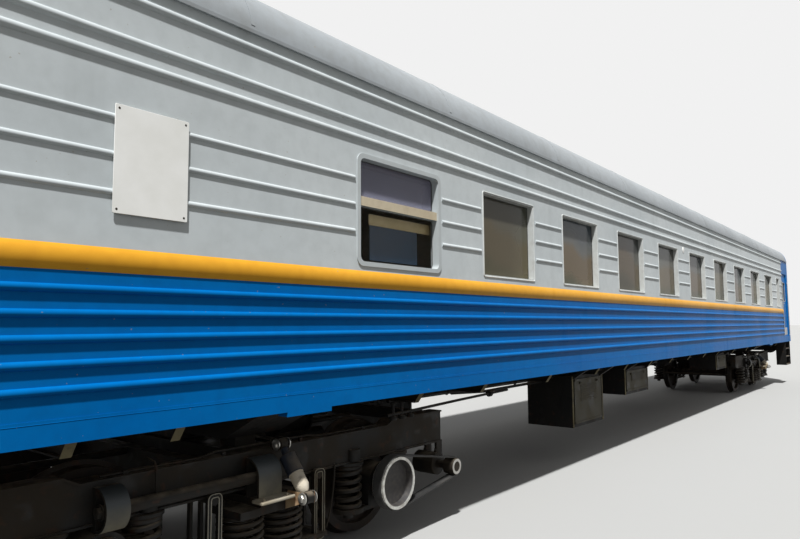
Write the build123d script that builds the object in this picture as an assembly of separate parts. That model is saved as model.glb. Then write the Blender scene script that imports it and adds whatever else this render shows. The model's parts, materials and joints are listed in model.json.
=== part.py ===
"""Open-plan sleeping coach for 1520 mm gauge on two two-axle coil-sprung bogies.

Millimetres. +X runs along the coach, +Y across it, +Z up, and the flange tips stand on Z = 0.
The origin is on the floor under the middle of the coach. Pieces that come in pairs are drawn
once, on the +Y side or at the +X end, and mirrored or turned half a turn about Z.
"""

import os
from math import asin, cos, hypot, radians, sin, sqrt

from build123d import *

# Wheels and gauge
WHEEL_RADIUS = 475
FLANGE_HEIGHT = 28
BACK_TO_BACK = 1440
RIM_WIDTH = 130
RIM_INNER_RADIUS = 403
WEB_THICKNESS = 26
HUB_RADIUS = 135
HUB_LENGTH = 190
HUB_OFFSET = 20
TREAD_CONE = 5
FLANGE_THICKNESS = 33
FLANGE_TIP_WIDTH = 12
FLANGE_BACK_RISE = 18
AXLE_RADIUS = 86
JOURNAL_RADIUS = 65
JOURNAL_SPREAD = 2036
JOURNAL_LENGTH = 250
RUNNING_GAP = 0.3
AXLE_Z = WHEEL_RADIUS + FLANGE_HEIGHT

# Coach body
BODY_LENGTH = 23600
MAX_WIDTH = 3105
BELT_DEPTH = 20
WALL_THICKNESS = 90
RAIL_TOP_Z = FLANGE_HEIGHT
SILL_Z = 1221 + RAIL_TOP_Z
EAVES_Z = 3678 + RAIL_TOP_Z
CROWN_Z = 4370 + RAIL_TOP_Z
SHOULDER_RADIUS = 450
ROOF_THICKNESS = 70
GUTTER_DEPTH = 20
GUTTER_HEIGHT = 24
FLOOR_TOP_Z = 1370 + RAIL_TOP_Z
FLOOR_THICKNESS = 60
END_OVERHANG = 3300
PAD_DROP = 31
PAD_LENGTH = 404
SHEET_Y = MAX_WIDTH / 2 - BELT_DEPTH
LINING_Y = SHEET_Y - WALL_THICKNESS
BODY_END_X = BODY_LENGTH / 2
FLOOR_Z = FLOOR_TOP_Z - FLOOR_THICKNESS

# Belt rail and pressed ribs of the side sheets
BELT_HEIGHT = 131
BELT_MID_Z = 2134.5 + RAIL_TOP_Z
SILL_BAND_HEIGHT = 124
SILL_BAND_DEPTH = 3
RIB_WIDTH = 44
RIB_DEPTH = 20
RIB_PITCH = 124.25
RIB_COUNT = 5
FIRST_RIB_Z = 1481 + RAIL_TOP_Z
HIGH_RIB_WIDTH = 48
HIGH_RIB_DEPTH = 18
HIGH_RIB_HEIGHTS = (3221 + RAIL_TOP_Z, 3347 + RAIL_TOP_Z, 3586 + RAIL_TOP_Z)
THIN_RIB_WIDTH = 36
THIN_RIB_DEPTH = 12
THIN_RIB_HEIGHTS = (2495 + RAIL_TOP_Z, 2699 + RAIL_TOP_Z, 2902 + RAIL_TOP_Z)
THIN_RIB_SETBACK = 45

# Windows: the bay pitch sets the windows, the partitions and the berths
WINDOW_PITCH = 1780
CREW_END_LENGTH = 3057
WASH_END_LENGTH = 1800
WINDOW_WIDTH = 1040
WINDOW_HEIGHT = 826
WINDOW_SILL_Z = 2258 + RAIL_TOP_Z
NARROW_WINDOW_WIDTH = 450
NARROW_WINDOW_SETBACK = 538
GLASS_RECESS = 66
GLASS_THICKNESS = 6
FRAME_WALL = 14
CREW_FLANGE = 22
CREW_FLANGE_PROUD = 9
CREW_TRANSOM_Z = 2704 + RAIL_TOP_Z
CREW_TRANSOM_HEIGHT = 72
CREW_CORNER = 45

# Ends, vestibules and doors
VESTIBULE_DEPTH = 1250
SIDE_SHEET_LAP = 150
END_WALL_THICKNESS = 80
DOOR_SETBACK = 220
DOOR_WIDTH = 790
DOOR_HEIGHT = 1930
DOOR_THICKNESS = 40
DOOR_INSET = 30
DOOR_GAP = 8
DOOR_REBATE = 24
DOOR_PANE_WIDTH = 400
DOOR_PANE_HEIGHT = 560
DOOR_PANE_SILL = 1080
GANGWAY_WIDTH = 800
BULKHEAD_DOORWAY = 700
PARTITION_THICKNESS = 30
SEAT_GAP = 0.3

# Saloon
AISLE_LOW_Y = 330
PARTITION_TOP = 2100
BERTH_WIDTH = 600
BERTH_THICKNESS = 90
LOWER_BERTH_TOP = 450
UPPER_BERTH_TOP = 1500
SIDE_BERTH_DEPTH = 560
BERTH_LEG_THICKNESS = 25
TABLE_TOP = 740
TABLE_THICKNESS = 25
TABLE_LENGTH = 560
TABLE_WIDTH = 480

# Bogie
BOGIE_WHEELBASE = 2400
FRAME_HALF_LENGTH = 2150
BEAM_WIDTH = 150
BEAM_LIP = 16
BEAM_FLANGE = 14
BEAM_LOW_Z = 690
BEAM_TOP_Z = 940
BEAM_END_TOP_Z = 986
BEAM_STEP_X = 1330
BEAM_STEP_RUN = 90
GUIDE_BOSS_RADIUS = 58
GUIDE_BOSS_HEIGHT = 92
GUIDE_NUT_RADIUS = 42
GUIDE_NUT_HEIGHT = 48
SPRING_CUP_HEIGHT = 20
SPRING_CUP_LIP = 10
TRANSOM_X = 430
TRANSOM_WIDTH = 110
TRANSOM_LOW_Z = 720
TRANSOM_TOP_Z = 900
HEADSTOCK_WIDTH = 80
HEADSTOCK_HEIGHT = 110
AXLEBOX_RADIUS = 150
AXLEBOX_LENGTH = 230
AXLEBOX_COVER = 26
AXLE_SPRING_X = 290
AXLE_SPRING_RADIUS = 118
AXLE_SPRING_TURNS = 5
SPRING_SIDES = 12
WING_Z = 285
WING_THICKNESS = 34
WING_WIDTH = 200
BOLSTER_SPRING_X = 180
BOLSTER_SPRING_RADIUS = 168
BOLSTER_SPRING_TURNS = 4
BOLSTER_END_Z = 535
BOLSTER_SLOPE = 56
BOLSTER_END_THICKNESS = 100
BOLSTER_WIDTH = 360
BOLSTER_TOP_Z = 930
PAN_Z = 220
PAN_THICKNESS = 28
PAN_LENGTH = 1060
PAN_WIDTH = 290
HANGER_X = 470
HANGER_WIDTH = 104
HANGER_BAR = 22
HANGER_DEPTH = 34
HANGER_TOP_Z = 720
HANGER_CLEARANCE = 12
CENTRE_BOWL_RADIUS = 190
CENTRE_BOWL_TOP_Z = 1000
SIDE_BEARER_Y = 740
SIDE_BEARER_SIZE = 180
SIDE_BEARER_CLEARANCE = 6
SWIVEL_PIN_RADIUS = 50

# Leash rod, frame hoop, bolster hood and damper
HOOP_RADIUS = 125
HOOP_THICKNESS = 16
HOOP_WIDTH = 140
HOOD_WIDTH = 200
HOOD_X = -100
HOOD_FOOT = 36
ROD_Z = 780
ROD_RADIUS = 38
ROD_BUSH_LENGTH = 46
FRAME_HOOP_X = -1180
DAMPER_X = 80
DAMPER_TOP_Z = 965
DAMPER_BOTTOM_Z = 630
DAMPER_BOTTOM_REACH = 180
DAMPER_RADIUS = 50
DAMPER_SLEEVE_RADIUS = 58
DAMPER_BODY_LENGTH = 95
DAMPER_EYE_RADIUS = 40
DAMPER_EYE_WIDTH = 60
DAMPER_PIN_RADIUS = 18
DAMPER_NECK = 100
LUG_THICKNESS = 14

# Brake gear
SHOE_CLEARANCE = 7
SHOE_THICKNESS = 42
SHOE_WIDTH = 80
SHOE_OFFSET = 14
SHOE_SEAT = 4
SHOE_HALF_ANGLE = 22
BRAKE_BEAM_DROP = 20
BRAKE_HANGER_TAIL = 60
BRAKE_BEAM_RADIUS = 26
BRAKE_HANGER_THICKNESS = 26
BRAKE_HANGER_TOP_Z = 800
BRAKE_PIN_RADIUS = 20

# Axle-end belt drive
PULLEY_RADIUS = 212
PULLEY_WIDTH = 112
PULLEY_OUTER_Y = 1330
PULLEY_GROOVES = 4
PULLEY_GROOVE_DEPTH = 14
PULLEY_LAND = 5
PULLEY_RIM_WALL = 24
PULLEY_DISH = 58
PULLEY_PLATE = 16
DRIVEN_SETBACK = 97
DRIVEN_Z = 494
DRIVEN_RADIUS = 74
BELT_THICKNESS = 12
BELT_RUNNING_GAP = 0.5
DRIVE_BRACKET_THICKNESS = 24
DRIVE_BRACKET_LENGTH = 90
DRIVE_BRACKET_FLANGE = 60
DRIVE_CASE_MARGIN = 30
DRIVE_CASE_REACH = (60, 20)
DRIVE_SHAFT_REACH = 230

# Underframe and underfloor pieces
SILL_BEAM_WIDTH = 60
BODY_BOLSTER_WIDTH = 520
BODY_BOLSTER_Z = 1020
CROSSBAR_WIDTH = 60
CROSSBAR_WEB = 12
CROSSBAR_FLANGE = 10
CROSSBAR_Z = 1150
CROSSBAR_TAPER = 72
# Cross bars between the bogies and in one half, by distance from the middle and from the pivot
MIDDLE_CROSSBARS = (0, 1080, 2150, 3220, 4640, 6060, 7110)
OUTER_CROSSBARS = (920, 1540)
BEARER_Y = 520
BEARER_WIDTH = 60
BEARER_HEIGHT = 40
CENTRE_SILL_WIDTH = 360
CENTRE_SILL_Z = 1040
CENTRE_SILL_INNER_REACH = 900
HEADSTOCK_Z = 960
HEADSTOCK_THICKNESS = 90
COUPLER_Z = 1060 + RAIL_TOP_Z
COUPLER_REACH = 468.5
COUPLER_HEAD_LENGTH = 330
COUPLER_HEAD_HEIGHT = 300
COUPLER_SHANK_WIDTH = 130
COUPLER_SHANK_HEIGHT = 180
BUFFER_Y = 870
BUFFER_REACH = 425
BUFFER_HEAD_RADIUS = 225
BUFFER_HEAD_THICKNESS = 28
BUFFER_PLUNGER_RADIUS = 78
BUFFER_HOUSING_RADIUS = 112
BUFFER_HOUSING_LENGTH = 250
BELLOWS_RADIUS = 130
BELLOWS_Y = 590
BELLOWS_TOP_Z = 3560
BELLOWS_REACH = 428
STEP_COUNT = 3
STEP_RISE = 235
STEP_DEPTH = 260
STEP_THICKNESS = 22
STEP_LOW_Z = 560
STEP_SIDE = 14

# Underfloor boxes: centre x, length, side, near face y, depth, bottom z
UNDERFLOOR_BOXES = (
    (-3100, 1010, -1, 1210, 640, 478),
    (-1190, 1050, -1, 1210, 560, 738),
    (3000, 1300, 1, 1210, 640, 478),
    (900, 1000, 1, 1210, 560, 738),
    (4400, 900, -1, 1180, 560, 790),
    (-5400, 1300, 1, 1210, 640, 478),
)
BOX_TOP_Z = 1138
BOX_STRAP_WIDTH = 60
BOX_STRAP_INSET = 30
BOX_LID_MARGIN = 45
BOX_LID_DEPTH = 9
# Air reservoirs: centre x, side, radius, length
AIR_TANKS = ((-400, 1, 200, 1050), (5850, 1, 178, 620))
TANK_DROP = 30
TANK_STRAP_WIDTH = 50
GENERATOR_X = -2155
GENERATOR_RADIUS = 240
GENERATOR_LENGTH = 700
GENERATOR_FEET = 240
# Roof ventilators and the boiler flue, by centre x
FLUE_X = -9300
VENT_XS = (-5600, -1900, 1900, 5600, 9300)
VENT_RADIUS = 165
VENT_TOP_RADIUS = 132
VENT_HEIGHT = 105
VENT_SINK = 12
FLUE_RADIUS = 90

# Values that follow from the sizes above
AXLE_XS = (-BOGIE_WHEELBASE / 2, BOGIE_WHEELBASE / 2)
JOURNAL_Y = JOURNAL_SPREAD / 2
DRIVEN_X = FRAME_HALF_LENGTH - DRIVEN_SETBACK
PIVOT_X = BODY_LENGTH / 2 - END_OVERHANG
BEAM_INNER_Y = JOURNAL_Y - BEAM_WIDTH / 2
BEAM_OUTER_Y = JOURNAL_Y + BEAM_WIDTH / 2
WEB_INNER_Y = BEAM_INNER_Y + BEAM_LIP
WEB_OUTER_Y = BEAM_OUTER_Y - BEAM_LIP
AXLE_SPRING_TOP_Z = BEAM_LOW_Z - SPRING_CUP_HEIGHT
BEARER_LOW_Z = CROSSBAR_Z - BEARER_HEIGHT
WING_TOP_Z = WING_Z + WING_THICKNESS
PAN_TOP_Z = PAN_Z + PAN_THICKNESS
INNER_END_X = BODY_END_X - END_WALL_THICKNESS
WINDOW_TOP_Z = WINDOW_SILL_Z + WINDOW_HEIGHT
BULKHEAD_X = BODY_END_X - VESTIBULE_DEPTH
WALL_END_X = BULKHEAD_X + SIDE_SHEET_LAP
DOOR_LOW_X = BODY_END_X - DOOR_SETBACK - DOOR_WIDTH
NARROW_WINDOW_X = BULKHEAD_X - NARROW_WINDOW_SETBACK
FIRST_WINDOW_X = CREW_END_LENGTH - BULKHEAD_X
WIDE_WINDOWS = int((BULKHEAD_X - WASH_END_LENGTH - FIRST_WINDOW_X) // WINDOW_PITCH) + 1
PARTITION_XS = tuple(FIRST_WINDOW_X + WINDOW_PITCH * (i + 0.5) for i in range(WIDE_WINDOWS))
SHOULDER_Y = SHEET_Y - SHOULDER_RADIUS
ROOF_RISE = CROWN_Z - EAVES_Z
CROWN_RADIUS = (SHOULDER_Y**2 + ROOF_RISE**2 - SHOULDER_RADIUS**2) / (2 * (ROOF_RISE - SHOULDER_RADIUS))
BOLSTER_END_TOP_Z = BOLSTER_END_Z + BOLSTER_END_THICKNESS
HOOP_BASE_Y = BEAM_OUTER_Y + HANGER_CLEARANCE + HOOP_THICKNESS
HOOP_INNER_RADIUS = HOOP_RADIUS - HOOP_THICKNESS
ROD_Y = HOOP_BASE_Y + HOOP_INNER_RADIUS / 2
BOLSTER_END_Y = HOOP_BASE_Y + HOOP_RADIUS
ROD_BUSH_RADIUS = HOOP_INNER_RADIUS / 2 - SEAT_GAP
DAMPER_TOP_Y = BEAM_OUTER_Y + DAMPER_EYE_RADIUS + HANGER_CLEARANCE
DAMPER_BOTTOM_Y = BOLSTER_END_Y + DAMPER_BOTTOM_REACH
GLASS_Y = SHEET_Y - GLASS_RECESS
DOOR_OUTER_Y = SHEET_Y - DOOR_INSET
DOOR_INNER_Y = DOOR_OUTER_Y - DOOR_THICKNESS


def block(x_span, y_span, z_span):
    """Rectangular block between low and high values on each axis."""
    spans = (x_span, y_span, z_span)
    middle = [(low + high) / 2 for low, high in spans]
    return Pos(*middle) * Box(*(high - low for low, high in spans))


def rod(direction, span, across, radius):
    """Round bar along X, Y or Z; across gives its other two coordinates in axis order."""
    low, high = span
    middle = (low + high) / 2
    place, turn = {
        "x": ((middle, *across), Rot(0, 90, 0)),
        "y": ((across[0], middle, across[1]), Rot(90, 0, 0)),
        "z": ((*across, middle), Rot(0, 0, 0)),
    }[direction]
    return Pos(*place) * turn * Cylinder(radius, high - low)


def strut(start, end, radius):
    """Round bar between two points."""
    line = end - start
    return Plane(origin=start, z_dir=line) * Cylinder(
        radius, line.length, align=(Align.CENTER, Align.CENTER, Align.MIN)
    )


def prism(section, x_span):
    """Section drawn in (y, z) pushed along X."""
    low, high = x_span
    return Pos(low, 0, 0) * extrude(Plane.YZ * section, high - low)


def side_plate(section, y_span):
    """Section drawn in (x, z) pushed along Y."""
    low, high = y_span
    return Pos(0, high, 0) * extrude(Plane.XZ * section, high - low)


def across(shape):
    """The same piece on the other side of the coach."""
    return mirror(shape, about=Plane.XZ)


def both_sides(shape):
    return [shape, across(shape)]


def turned(shape):
    """The same piece at the other end, half a turn about the upright axis."""
    return Rot(0, 0, 180) * shape


def four_corners(shape):
    return [copy for side in both_sides(shape) for copy in (side, mirror(side, about=Plane.YZ))]


def joined(*shapes):
    """One piece fused from touching or crossing shapes."""
    return Part() + list(shapes)


def save(name, *shapes):
    """Write one node; its solids are separate pieces of the same kind."""
    solids = [solid for shape in shapes for solid in shape.solids()]
    export_step(Compound(solids), f"parts/{name}.step")


# Body shell


def rib_section(z_mid, width, depth):
    """Pressed rib of the side sheet: an arc that stands out of the sheet."""
    low, high = (SHEET_Y, z_mid - width / 2), (SHEET_Y, z_mid + width / 2)
    return make_face([ThreePointArc(low, (SHEET_Y + depth, z_mid), high), Line(high, low)])


def roof_arch(inset):
    """Edges of the roof line, eaves to eaves, moved inward by inset."""
    shoulder = SHOULDER_RADIUS - inset
    crown = CROWN_RADIUS - inset
    crown_centre_z = CROWN_Z - CROWN_RADIUS
    lean = asin(SHOULDER_Y / (CROWN_RADIUS - SHOULDER_RADIUS))
    middle_lean = (radians(90) + lean) / 2
    eave = (SHEET_Y - inset, EAVES_Z)
    joint = (crown * sin(lean), crown_centre_z + crown * cos(lean))
    bend = (SHOULDER_Y + shoulder * sin(middle_lean), EAVES_Z + shoulder * cos(middle_lean))
    far_joint, far_bend, far_eave = [(-y, z) for y, z in (joint, bend, eave)]
    return [
        ThreePointArc(eave, bend, joint),
        ThreePointArc(joint, (0, crown_centre_z + crown), far_joint),
        ThreePointArc(far_joint, far_bend, far_eave),
    ]


def body_section(inset, low_z):
    """Whole cross-section of the body, moved inward by inset and cut off at low_z."""
    side = SHEET_Y - inset
    sides = Polyline((-side, EAVES_Z), (-side, low_z), (side, low_z), (side, EAVES_Z))
    return make_face(roof_arch(inset) + [*sides.edges()])


def wide_window_xs():
    return [FIRST_WINDOW_X + WINDOW_PITCH * i for i in range(WIDE_WINDOWS)]


def window_table():
    """Every window on one side: (centre x, width)."""
    wide = [(x, WINDOW_WIDTH) for x in wide_window_xs()]
    return wide + [(NARROW_WINDOW_X, NARROW_WINDOW_WIDTH)]


def lower_wall():
    """Ribbed sheet and sill below the belt rail, with the jacking pads above the bogies."""
    sheet = Pos((SHEET_Y + LINING_Y) / 2, (SILL_Z + BELT_MID_Z) / 2) * Rectangle(
        WALL_THICKNESS, BELT_MID_Z - SILL_Z
    )
    band = Pos(SHEET_Y + SILL_BAND_DEPTH / 2, SILL_Z + SILL_BAND_HEIGHT / 2) * Rectangle(
        SILL_BAND_DEPTH, SILL_BAND_HEIGHT
    )
    ribs = [rib_section(FIRST_RIB_Z + RIB_PITCH * i, RIB_WIDTH, RIB_DEPTH) for i in range(RIB_COUNT)]
    wall = prism(sheet + band + ribs, (-WALL_END_X, WALL_END_X))
    pads = [
        block(
            (x - PAD_LENGTH / 2, x + PAD_LENGTH / 2),
            (LINING_Y, SHEET_Y + SILL_BAND_DEPTH),
            (SILL_Z - PAD_DROP, SILL_Z),
        )
        for x in (-PIVOT_X, PIVOT_X)
    ]
    return joined(wall, *pads)


def upper_wall():
    """Window sheet above the belt rail, with long ribs over the windows and short ones between."""
    sheet = Pos((SHEET_Y + LINING_Y) / 2, (BELT_MID_Z + EAVES_Z) / 2) * Rectangle(
        WALL_THICKNESS, EAVES_Z - BELT_MID_Z
    )
    ribs = [rib_section(z, HIGH_RIB_WIDTH, HIGH_RIB_DEPTH) for z in HIGH_RIB_HEIGHTS]
    wall = prism(sheet + ribs, (-WALL_END_X, WALL_END_X))
    openings = [
        block((x - w / 2, x + w / 2), (LINING_Y - 1, SHEET_Y + 1), (WINDOW_SILL_Z, WINDOW_TOP_Z))
        for x, w in window_table()
    ]
    edges = [-WALL_END_X]
    for x, w in window_table():
        edges += [x - w / 2 - THIN_RIB_SETBACK, x + w / 2 + THIN_RIB_SETBACK]
    edges += [WALL_END_X]
    short_ribs = [
        prism(rib_section(z, THIN_RIB_WIDTH, THIN_RIB_DEPTH), span)
        for span in zip(edges[::2], edges[1::2])
        for z in THIN_RIB_HEIGHTS
    ]
    return joined(wall - openings, *short_ribs)


def belt_rail():
    return prism(rib_section(BELT_MID_Z, BELT_HEIGHT, BELT_DEPTH), (-WALL_END_X, WALL_END_X))


def roof():
    """Arched shell with its gutters."""
    outer, inner = roof_arch(0), roof_arch(ROOF_THICKNESS)
    feet = [
        Line((side * SHEET_Y, EAVES_Z), (side * (SHEET_Y - ROOF_THICKNESS), EAVES_Z)) for side in (-1, 1)
    ]
    shell = prism(make_face(outer + inner + feet), (-INNER_END_X, INNER_END_X))
    gutter = block(
        (-INNER_END_X, INNER_END_X),
        (SHEET_Y - GUTTER_DEPTH, SHEET_Y + GUTTER_DEPTH),
        (EAVES_Z, EAVES_Z + GUTTER_HEIGHT),
    )
    return joined(shell, *both_sides(gutter))


def doorway(x_span, y_span):
    return block(x_span, y_span, (FLOOR_TOP_Z, FLOOR_TOP_Z + DOOR_HEIGHT))


def end_shell():
    """End wall and the two short side walls that hold the entrance doors."""
    end = prism(body_section(0, SILL_Z), (INNER_END_X, BODY_END_X))
    side = block((WALL_END_X, INNER_END_X), (LINING_Y, SHEET_Y), (SILL_Z, EAVES_Z))
    low, high = DOOR_LOW_X, DOOR_LOW_X + DOOR_WIDTH
    inner_hole = doorway((low, high), (LINING_Y - 1, DOOR_OUTER_Y + SEAT_GAP))
    outer_hole = block(
        (low + DOOR_REBATE, high - DOOR_REBATE),
        (DOOR_OUTER_Y, SHEET_Y + 1),
        (FLOOR_TOP_Z + DOOR_REBATE, FLOOR_TOP_Z + DOOR_HEIGHT - DOOR_REBATE),
    )
    half = GANGWAY_WIDTH / 2
    leaf_outer_x = BODY_END_X - DOOR_INSET
    end_inner_hole = doorway((INNER_END_X - 1, leaf_outer_x + SEAT_GAP), (-half, half))
    end_outer_hole = block(
        (leaf_outer_x, BODY_END_X + 1),
        (-half + DOOR_REBATE, half - DOOR_REBATE),
        (FLOOR_TOP_Z + DOOR_REBATE, FLOOR_TOP_Z + DOOR_HEIGHT - DOOR_REBATE),
    )
    side -= [inner_hole, outer_hole]
    return joined(end, *both_sides(side)) - [end_inner_hole, end_outer_hole]


def side_door_parts():
    """Entrance door at the +X, +Y corner and its pane; the hinge is at the outer end."""
    low, high = DOOR_LOW_X + DOOR_GAP, DOOR_LOW_X + DOOR_WIDTH - DOOR_GAP
    z_low, z_high = FLOOR_TOP_Z + DOOR_GAP, FLOOR_TOP_Z + DOOR_HEIGHT - DOOR_GAP
    middle = (low + high) / 2
    hole_x = (middle - DOOR_PANE_WIDTH / 2, middle + DOOR_PANE_WIDTH / 2)
    hole_z = (FLOOR_TOP_Z + DOOR_PANE_SILL, FLOOR_TOP_Z + DOOR_PANE_SILL + DOOR_PANE_HEIGHT)
    leaf = block((low, high), (DOOR_INNER_Y, DOOR_OUTER_Y), (z_low, z_high))
    leaf -= block(hole_x, (DOOR_INNER_Y - 1, DOOR_OUTER_Y + 1), hole_z)
    mid_y = (DOOR_INNER_Y + DOOR_OUTER_Y) / 2
    pane = block(hole_x, (mid_y - GLASS_THICKNESS / 2, mid_y + GLASS_THICKNESS / 2), hole_z)
    return leaf, pane


def end_door_parts():
    """Gangway door in the +X end wall and its pane; the hinge is at low Y."""
    half = GANGWAY_WIDTH / 2 - DOOR_GAP
    outer_x = BODY_END_X - DOOR_INSET
    x_span = (outer_x - DOOR_THICKNESS, outer_x)
    hole_y = (-DOOR_PANE_WIDTH / 2, DOOR_PANE_WIDTH / 2)
    hole_z = (FLOOR_TOP_Z + DOOR_PANE_SILL, FLOOR_TOP_Z + DOOR_PANE_SILL + DOOR_PANE_HEIGHT)
    leaf = block(x_span, (-half, half), (FLOOR_TOP_Z + DOOR_GAP, FLOOR_TOP_Z + DOOR_HEIGHT - DOOR_GAP))
    leaf -= block((x_span[0] - 1, x_span[1] + 1), hole_y, hole_z)
    mid_x = sum(x_span) / 2
    pane = block((mid_x - GLASS_THICKNESS / 2, mid_x + GLASS_THICKNESS / 2), hole_y, hole_z)
    return leaf, pane


# Windows


def plain_frame(x, width):
    """Square-cornered lining of a window opening, from the sheet in to the glass."""
    y_span = (GLASS_Y - GLASS_THICKNESS, SHEET_Y)
    outer = block((x - width / 2, x + width / 2), y_span, (WINDOW_SILL_Z, WINDOW_TOP_Z))
    return outer - block(
        (x - width / 2 + FRAME_WALL, x + width / 2 - FRAME_WALL),
        (y_span[0] - 1, y_span[1] + 1),
        (WINDOW_SILL_Z + FRAME_WALL, WINDOW_TOP_Z - FRAME_WALL),
    )


def plain_pane(x, width):
    return block(
        (x - width / 2 + FRAME_WALL, x + width / 2 - FRAME_WALL),
        (GLASS_Y - GLASS_THICKNESS, GLASS_Y),
        (WINDOW_SILL_Z + FRAME_WALL, WINDOW_TOP_Z - FRAME_WALL),
    )


def crew_frame(x):
    """Framed window of the crew compartment, with a raised flange, round corners and a transom."""
    mid_z = (WINDOW_SILL_Z + WINDOW_TOP_Z) / 2
    clear_w, clear_h = WINDOW_WIDTH - 2 * FRAME_WALL, WINDOW_HEIGHT - 2 * FRAME_WALL

    def sheet(width, height, corner, y_span):
        return side_plate(Pos(x, mid_z) * RectangleRounded(width, height, corner), y_span)

    body = block(
        (x - WINDOW_WIDTH / 2, x + WINDOW_WIDTH / 2),
        (GLASS_Y - GLASS_THICKNESS, SHEET_Y),
        (WINDOW_SILL_Z, WINDOW_TOP_Z),
    )
    flange = sheet(
        WINDOW_WIDTH + 2 * CREW_FLANGE,
        WINDOW_HEIGHT + 2 * CREW_FLANGE,
        CREW_CORNER + CREW_FLANGE,
        (SHEET_Y, SHEET_Y + CREW_FLANGE_PROUD),
    )
    hole_y = (GLASS_Y - GLASS_THICKNESS - 1, SHEET_Y + CREW_FLANGE_PROUD + 1)
    hole = sheet(clear_w, clear_h, CREW_CORNER, hole_y)
    transom = block(
        (x - clear_w / 2 - 1, x + clear_w / 2 + 1),
        (GLASS_Y - GLASS_THICKNESS, SHEET_Y - FRAME_WALL),
        (CREW_TRANSOM_Z, CREW_TRANSOM_Z + CREW_TRANSOM_HEIGHT),
    )
    return joined(joined(body, flange) - hole, transom)


def crew_panes(x):
    """Lower pane and upper vent pane of the crew window."""
    low_z, high_z = WINDOW_SILL_Z + FRAME_WALL, WINDOW_TOP_Z - FRAME_WALL
    outline = RectangleRounded(WINDOW_WIDTH - 2 * FRAME_WALL, high_z - low_z, CREW_CORNER)
    whole = side_plate(Pos(x, (low_z + high_z) / 2) * outline, (GLASS_Y - GLASS_THICKNESS, GLASS_Y))
    bar = block(
        (x - WINDOW_WIDTH, x + WINDOW_WIDTH),
        (GLASS_Y - GLASS_THICKNESS - 1, GLASS_Y + 1),
        (CREW_TRANSOM_Z, CREW_TRANSOM_Z + CREW_TRANSOM_HEIGHT),
    )
    return whole - bar


# Saloon


def floor():
    return block((-INNER_END_X, INNER_END_X), (-LINING_Y, LINING_Y), (FLOOR_Z, FLOOR_TOP_Z))


def bulkhead():
    """Wall between vestibule and saloon with its doorway, up to the roof."""
    half = PARTITION_THICKNESS / 2
    wall = prism(body_section(WALL_THICKNESS, FLOOR_TOP_Z), (BULKHEAD_X - half, BULKHEAD_X + half))
    return wall - block(
        (BULKHEAD_X - half - 1, BULKHEAD_X + half + 1),
        (-BULKHEAD_DOORWAY / 2, BULKHEAD_DOORWAY / 2),
        (FLOOR_TOP_Z - 1, FLOOR_TOP_Z + DOOR_HEIGHT),
    )


def partitions():
    """Cross walls between the berth bays, and the corridor walls of the crew end and the wash end."""
    half = PARTITION_THICKNESS / 2
    z_span = (FLOOR_TOP_Z, FLOOR_TOP_Z + PARTITION_TOP)
    walls = [block((x - half, x + half), (-LINING_Y, AISLE_LOW_Y), z_span) for x in PARTITION_XS]
    bulkhead_face = BULKHEAD_X - half - SEAT_GAP
    for low, high in (
        (-bulkhead_face, PARTITION_XS[0] - half - SEAT_GAP),
        (PARTITION_XS[-1] + half + SEAT_GAP, bulkhead_face),
    ):
        walls.append(block((low, high), (AISLE_LOW_Y - PARTITION_THICKNESS, AISLE_LOW_Y), z_span))
    cross_x = PARTITION_XS[0] - WINDOW_PITCH
    y_span = (-LINING_Y, AISLE_LOW_Y - PARTITION_THICKNESS - SEAT_GAP)
    walls.append(block((cross_x - half, cross_x + half), y_span, z_span))
    return walls


def bay_berths(x):
    """The two lower and two upper berths of the bay that starts at partition x."""
    half = PARTITION_THICKNESS / 2
    ends = (
        (x + half, x + half + BERTH_WIDTH),
        (x + WINDOW_PITCH - half - BERTH_WIDTH, x + WINDOW_PITCH - half),
    )
    berths = []
    for x_span in ends:
        seat_low = FLOOR_TOP_Z + LOWER_BERTH_TOP - BERTH_THICKNESS
        seat = block(x_span, (-LINING_Y, AISLE_LOW_Y), (seat_low, FLOOR_TOP_Z + LOWER_BERTH_TOP))
        trunk = block(
            (x_span[0], x_span[1] - BERTH_LEG_THICKNESS) if x_span is ends[0]
            else (x_span[0] + BERTH_LEG_THICKNESS, x_span[1]),
            (-LINING_Y, AISLE_LOW_Y - BERTH_LEG_THICKNESS),
            (FLOOR_TOP_Z, seat_low),
        )
        upper = block(
            x_span,
            (-LINING_Y, AISLE_LOW_Y),
            (FLOOR_TOP_Z + UPPER_BERTH_TOP - BERTH_THICKNESS, FLOOR_TOP_Z + UPPER_BERTH_TOP),
        )
        berths += [joined(seat, trunk), upper]
    return berths


def side_berths(x):
    """Upper and lower berth along the aisle-side wall, in the bay that starts at partition x."""
    x_span = (x + PARTITION_THICKNESS, x + WINDOW_PITCH - PARTITION_THICKNESS)
    y_span = (LINING_Y - SIDE_BERTH_DEPTH, LINING_Y)
    lower = block(x_span, y_span, (FLOOR_TOP_Z, FLOOR_TOP_Z + LOWER_BERTH_TOP))
    upper_top = FLOOR_TOP_Z + UPPER_BERTH_TOP
    upper = block(x_span, y_span, (upper_top - BERTH_THICKNESS, upper_top))
    return [lower, upper]


def bay_table(x):
    """Small table under the window, on its one leg."""
    mid = x + WINDOW_PITCH / 2
    top_z = FLOOR_TOP_Z + TABLE_TOP
    top = block(
        (mid - TABLE_WIDTH / 2, mid + TABLE_WIDTH / 2),
        (-LINING_Y, -LINING_Y + TABLE_LENGTH),
        (top_z - TABLE_THICKNESS, top_z),
    )
    leg_place = (mid, -LINING_Y + TABLE_LENGTH / 2)
    leg = rod("z", (FLOOR_TOP_Z, top_z - TABLE_THICKNESS / 2), leg_place, TABLE_THICKNESS)
    return joined(top, leg)


# Underframe, ends and underfloor equipment


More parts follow.
